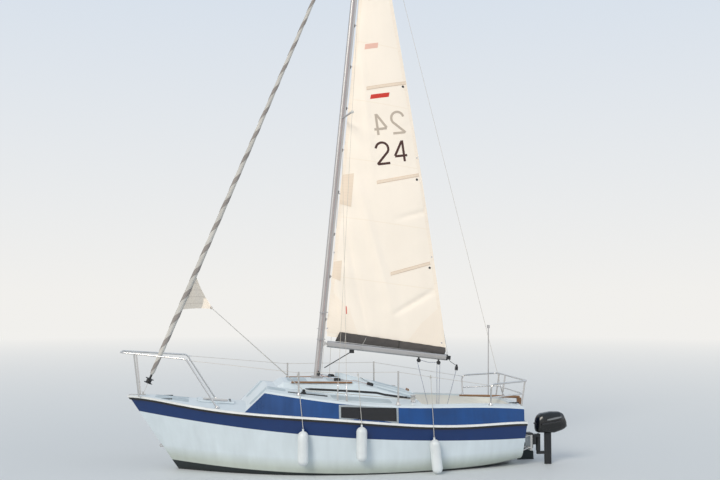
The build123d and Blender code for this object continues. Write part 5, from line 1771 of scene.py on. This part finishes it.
# %% Cleats on the mast
def make_cleat(long=0.13):
    """A horn cleat: a bar with upturned tapered ends on a waisted foot."""
    bar = begin("primitive_cube_add", "cleat", size=0.018, location=(0, 0, 0.030))
    for sign in (1, -1):
        choose(bar, lambda c, n: n.x * sign > 0.9)
        for reach, lift, size in ((0.30, 0.0, 0.9), (0.35, 0.10, 0.8), (0.25, 0.30, 0.7)):
            extrude((sign * (long / 2 - 0.009) * reach / 0.9, 0, lift * 0.018), (1, size, size))
        leave(bar)
    choose(bar, lambda c, n: n.z < -0.9 and abs(c.x) < 0.004)
    extrude((0, 0, -0.010))
    extrude((0, 0, -0.010), (2.2, 1.3, 1))
    leave(bar)
    settle(bar)
    return soften(bar, 0.003, 3)


places = []
for z, side in ((1.86, 1), (2.02, -1), (2.26, 1)):
    places.append(turned(by_mast(z, 0.0, side * 0.032), (0, side, 0)))
gear("mast_cleats", make_cleat(), places, slot="aluminium")
print(len(places), "mast cleats")

# %% [markdown]
# A cowl is a moulding with no flat side: it is fullest low down, and every edge is round. The frame's cowl
# has the right outline but straight walls, so a new one takes its place. It is a row of closed rings from
# front to back. Each ring is a rounded square, whose top, bottom and half width at that distance come from
# three short tables.
# %% Cowl of the outboard
MOTOR_MIDDLE = 0.45
COWL_TOP = ((-3.100, 0.600), (-3.106, 0.672), (-3.135, 0.722), (-3.175, 0.752), (-3.330, 0.778),
            (-3.460, 0.774), (-3.515, 0.748), (-3.555, 0.672), (-3.578, 0.600), (-3.585, 0.575))
COWL_LOW = ((-3.100, 0.520), (-3.106, 0.484), (-3.135, 0.466), (-3.380, 0.463), (-3.500, 0.500),
            (-3.545, 0.522), (-3.578, 0.556), (-3.585, 0.572))
COWL_WIDE = ((-3.100, 0.040), (-3.106, 0.072), (-3.135, 0.100), (-3.200, 0.120), (-3.330, 0.125),
             (-3.460, 0.117), (-3.530, 0.094), (-3.565, 0.066), (-3.585, 0.012))
COWL_FRONT = -3.1003
COWL_LONG = 0.4846
COWL_STEPS = 60
RING_POINTS = 48
SQUARENESS = 0.62


def from_table(table, x):
    """The value of a table of (x, value) at x, with the corners between its rows eased."""
    total = 0.0
    for shift in (-0.006, -0.003, 0.0, 0.003, 0.006):
        at = min(table[0][0], max(table[-1][0], x + shift))
        for (x0, v0), (x1, v1) in zip(table, table[1:]):
            if x1 <= at <= x0:
                total += v0 + (v1 - v0) * (x0 - at) / (x0 - x1)
                break
    return total / 5


def cowl_ring(x):
    """A rounded square across the motor, a little wider low down."""
    top, low, half = from_table(COWL_TOP, x), from_table(COWL_LOW, x), from_table(COWL_WIDE, x)
    ring = []
    for k in range(RING_POINTS):
        turn = 2 * pi * k / RING_POINTS
        across = abs(cos(turn)) ** SQUARENESS * (1 if cos(turn) > 0 else -1)
        up = abs(sin(turn)) ** SQUARENESS * (1 if sin(turn) > 0 else -1)
        z = (top + low) / 2 + (top - low) / 2 * up
        ring.append(Vector((x, MOTOR_MIDDLE + half * across * (1 - 0.10 * max(0.0, up)), z)))
    return ring


rings = []
for k in range(COWL_STEPS + 1):
    gone = 0.5 - 0.5 * cos(pi * k / COWL_STEPS)
    rings.append(cowl_ring(COWL_FRONT - COWL_LONG * gone))
cowl = own_mesh("cowl_moulding", [p for ring in rings for p in ring], wrapped(len(rings), RING_POINTS))
face_outwards(cowl)
COWL = surface_of(cowl.data)
ready(cowl, "motor_steer", FINISH["motor_black"], 60)
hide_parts("motor_cowl")
print("cowl of", len(rings), "rings")

# %% [markdown]
# The cowl is two mouldings that meet at a seam, with a grey flash on each side, an air grille, a starter
# grip in front and a latch behind. Each lies on the cowl by a ray from its side, and turns with the motor.
# %% Outboard details
FLASH_GREY = finish("grey flash", (0.17, 0.18, 0.19), 0.4, 0.3, bump=0.05)


def cowl_strip(name, line, wide, lift, thick):
    """A strip on both sides of the cowl along a line of (x, z)."""
    bands = []
    for side in (1, -1):
        rows = []
        for k, (x, z) in enumerate(line):
            taper = 0.35 + 0.65 * sin(pi * (k + 0.5) / len(line)) ** 0.5
            row = []
            for s in (-1, -0.5, 0, 0.5, 1):
                beside = (x, MOTOR_MIDDLE + side * 0.5, z + s * wide * taper)
                row.append(ray(COWL, beside, (0, -side, 0))[0] + Vector((0, side * lift, 0)))
            rows.append(row)
        bands.append(skin(name, rows, thick))
    return joined(name, bands)


flash = [(-3.245 - 0.0125 * k, 0.662 + 0.0022 * k) for k in range(19)]
ready(cowl_strip("cowl_flash", flash, 0.013, 0.0008, 0.003), "motor_steer", FLASH_GREY, 40)
seam = [(-3.135 - 0.0125 * k, 0.512 + 0.0018 * k) for k in range(31)]
seam = cowl_strip("cowl_seam", seam, 0.004, 0.0004, 0.0016)
ready(seam, "motor_steer", FINISH["black_rubber"], 40)
slats = []
for k in range(3):
    slat = [(-3.200 - 0.0125 * j, 0.712 - 0.013 * k) for j in range(8)]
    slats.append(cowl_strip("slat", slat, 0.0032, 0.0008, 0.0026))
ready(joined("cowl_grille", slats), "motor_steer", FINISH["motor_metal"], 40)


def make_grip():
    """A starter grip: a bar with rounded ends on a short stem."""
    bar = begin("primitive_cylinder_add", "grip", vertices=20, radius=0.011, depth=0.085,
                rotation=(pi / 2, 0, 0))
    choose(bar, lambda c, n: abs(n.z) > 0.9)
    inset(0.004, 0.004)
    leave(bar)
    stem = begin("primitive_cylinder_add", "stem", vertices=16, radius=0.013, depth=0.016,
                 location=(-0.012, 0, 0), rotation=(0, pi / 2, 0))
    choose(stem, lambda c, n: abs(n.z) > 0.9)
    inset(0.004, 0.002)
    leave(stem)
    settle(bar, stem)
    return joined("grip", [soften(bar, 0.003, 3), soften(stem, 0.002)])


front = ray(COWL, (-2.8, MOTOR_MIDDLE, 0.60), (-1, 0, 0))[0]
at_front = Matrix.Translation(front + Vector((0.006, 0, 0)))
gear("starter_grip", make_grip(), [at_front], "motor_steer", "black_plastic")
back = ray(COWL, (-4.0, MOTOR_MIDDLE, 0.56), (1, 0, 0))[0]
latch = begin("primitive_cube_add", "latch", size=0.03)
stretch(latch, (0.35, 1.6, 0.9))
choose(latch, lambda c, n: n.x < -0.9)
inset(0.004, 0.003)
leave(latch)
soften(latch, 0.002, 3)
at_back = Matrix.Translation(back + Vector((0.002, 0, 0)))
ready(copies("cowl_latch", latch, [at_back]), "motor_steer", FLASH_GREY)
print("cowl from", round(back.x, 3), "to", round(front.x, 3))

# %% [markdown]
# A boat's doors and lids have small fittings too: ribs and a pull on the sliding hatch, dogs and a smoked
# panel on the forehatch, a vent in the washboard, and the seams and hinges of the locker lids in the
# cockpit seats.
# %% Hatch fittings
FOREHATCH = surface_named("forehatch")
HATCH = surface_named("sliding_hatch")


def lid_skin(name, lid, x0, x1, half, lift, thick, radius):
    """A thin panel with round corners on a lid."""
    rows = []
    count = max(8, int((x1 - x0) / PANEL_STEP))
    for k in range(count + 1):
        x = x0 + (x1 - x0) * k / count
        edge = half - trimmed(x, x0, x1, radius)
        line = [down_to(lid, x, edge * (-1 + j / 6))[0] for j in range(13)]
        rows.append([spot + Vector((0, 0, lift)) for spot in line])
    return skin(name, rows, thick)


smoked = finish("smoked panel", (0.02, 0.024, 0.030), 0.12, 0.2, bump=0.02, coat=0.3)
pane = lid_skin("forehatch_panel", FOREHATCH, 1.455, 1.815, 0.155, 0.0015, 0.005, 0.05)
ready(pane, "forehatch", smoked, 40)
# Columns: distance from a rib's middle line, and its height there
BULGE = ((-0.016, 0.0), (-0.011, 0.003), (0.0, 0.0045), (0.011, 0.003), (0.016, 0.0))
ribs = []
for y in (-0.20, -0.12, -0.04, 0.04, 0.12, 0.20):
    rows = []
    for k in range(20):
        x = -1.20 + 0.026 * k
        end = min(1.0, min(k, 19 - k) / 2)
        rows.append([down_to(HATCH, x, y + dy)[0] + Vector((0, 0, 0.0006 + dz * end)) for dy, dz in BULGE])
    ribs.append(skin("rib", rows, 0.002))
ready(joined("hatch_ribs", ribs), "cabin_hatch", grip, 40)


def make_pull():
    """A moulded pull: a rounded bar on two feet."""
    bar = begin("primitive_cube_add", "pull", size=0.02, location=(0, 0, 0.022))
    stretch(bar, (0.8, 7.0, 0.6))
    choose(bar, lambda c, n: abs(n.y) > 0.9)
    inset(0.0001, 0.012)
    leave(bar)
    for sign in (1, -1):
        foot = begin("primitive_cube_add", "foot", size=0.018, location=(0, sign * 0.066, 0.009))
        choose(foot, lambda c, n: n.z < -0.9)
        extrude((0, 0, -0.004), (1.5, 1.3, 1))
        leave(foot)
        bar = joined("pull", [bar, soften(foot, 0.0025)])
    settle(bar)
    return soften(bar, 0.003)


def seated(surface, x, y, top=2.0, lift=0.0):
    """A place on a surface, with Z along the surface's direction and X kept fore and aft."""
    spot, aim = down_to(surface, x, y, top)
    return upright(spot + aim * lift, aim)


gear("hatch_pull", make_pull(), [seated(HATCH, -1.235, 0.0, lift=0.003)], "cabin_hatch", "wood")
dogs = [seated(FOREHATCH, 1.425, y, lift=0.003) for y in (0.11, -0.11)]
dog = begin("primitive_cylinder_add", "dog", vertices=24, radius=0.018, depth=0.008)
choose(dog, lambda c, n: n.z > 0.9)
inset(0.005)
inset(0.004, 0.006)
leave(dog)
gear("forehatch_dogs", soften(dog, 0.0015, 3), dogs, "forehatch", "black_plastic")
print(len(ribs), "ribs and", len(dogs), "dogs")

# %% Lids of the cockpit lockers
WELL = surface_named("cockpit")
LID_LINE = 0.006
LID = ((-2.50, 0.285), (-1.40, 0.285), (-1.40, 0.630), (-2.50, 0.575), (-2.50, 0.285))
HINGES = ((-2.2, 0.592), (-1.7, 0.617))
lids = []
for side in (1, -1):
    for (x0, y0), (x1, y1) in zip(LID, LID[1:]):
        run = Vector((x1 - x0, y1 - y0)).normalized()
        count = max(4, int(hypot(x1 - x0, y1 - y0) / 0.05))
        rows = []
        for k in range(count + 1):
            x, y = x0 + (x1 - x0) * k / count, y0 + (y1 - y0) * k / count
            row = []
            for s in (-0.5, 0.0, 0.5):
                spot = down_to(WELL, x - run.y * s * LID_LINE, side * (y + run.x * s * LID_LINE), 0.9)[0]
                row.append(spot + Vector((0, 0, 0.0006 - abs(s) * 0.0006)))
            rows.append(row)
        lids.append(skin("lid", rows, 0.0014))
seam_grey = finish("locker seam", (0.16, 0.17, 0.17), 0.8, 0.3, bump=0.1)
ready(joined("locker_seams", lids), "hull", seam_grey, 40)
hinges = [seated(WELL, x, side * y, 0.9, 0.002) for side in (1, -1) for x, y in HINGES]
hinge = begin("primitive_cube_add", "hinge", size=0.03)
stretch(hinge, (2.0, 1.3, 0.12))
choose(hinge, lambda c, n: n.z > 0.9)
inset(0.012)
inset(0.001, 0.005)
leave(hinge)
gear("locker_hinges", soften(hinge, 0.0012), hinges)
print(len(lids), "locker seams")

# %% Vent of the washboard
BOARD = surface_named("washboard")
board_aft = ray(BOARD, (-2.0, 0.0, 0.76), (1, 0, 0))[0]
slats = []
for k in range(4):
    slat = begin("primitive_cube_add", "slat", size=0.01)
    stretch(slat, (0.5, 12.0, 0.7))
    choose(slat, lambda c, n: n.z < -0.9)
    extrude((-0.004, 0, -0.004))
    leave(slat)
    slat.data.transform(Matrix.Translation(board_aft + Vector((-0.002, 0, 0.024 - 0.016 * k))))
    slats.append(soften(slat, 0.001))
ready(joined("washboard_vent", slats), "hull", FINISH["black_plastic"])
print("washboard at", round(board_aft.x, 3))

# %% Boots of the spreaders
boot = begin("primitive_uv_sphere_add", "boot", segments=24, ring_count=12, radius=0.024)
choose(boot, lambda c, n: c.z > 0.0)
bpy.ops.transform.resize(value=(0.8, 0.8, 1.5))
leave(boot)
tips = [turned(by_mast(5.2, -0.062, side * 0.604), (0, -side, 0)) for side in (1, -1)]
white_boot = finish("white vinyl boot", (0.70, 0.70, 0.66), 0.5, 0.4, 0.2, scale=4.0, bump=0.1)
ready(copies("spreader_boots", boot, tips), "hull", white_boot)
print(len(tips), "boots")

# %% Collars of the fenders
LEANS = (0, 0, 6)
collar = begin("primitive_torus_add", "collar", major_radius=0.026, minor_radius=0.007, major_segments=32,
               minor_segments=10)
necks = []
for x, lean in zip(FENDER_XS, LEANS):
    up = Vector((sin(radians(lean)), 0, cos(radians(lean))))
    necks.append(turned(fender_tip(x, max) - up * 0.052, up))
    necks.append(turned(fender_tip(x, min) + up * 0.010, -up))
gear("fender_collars", collar, necks, slot="fender_vinyl")
print(len(necks), "collars")
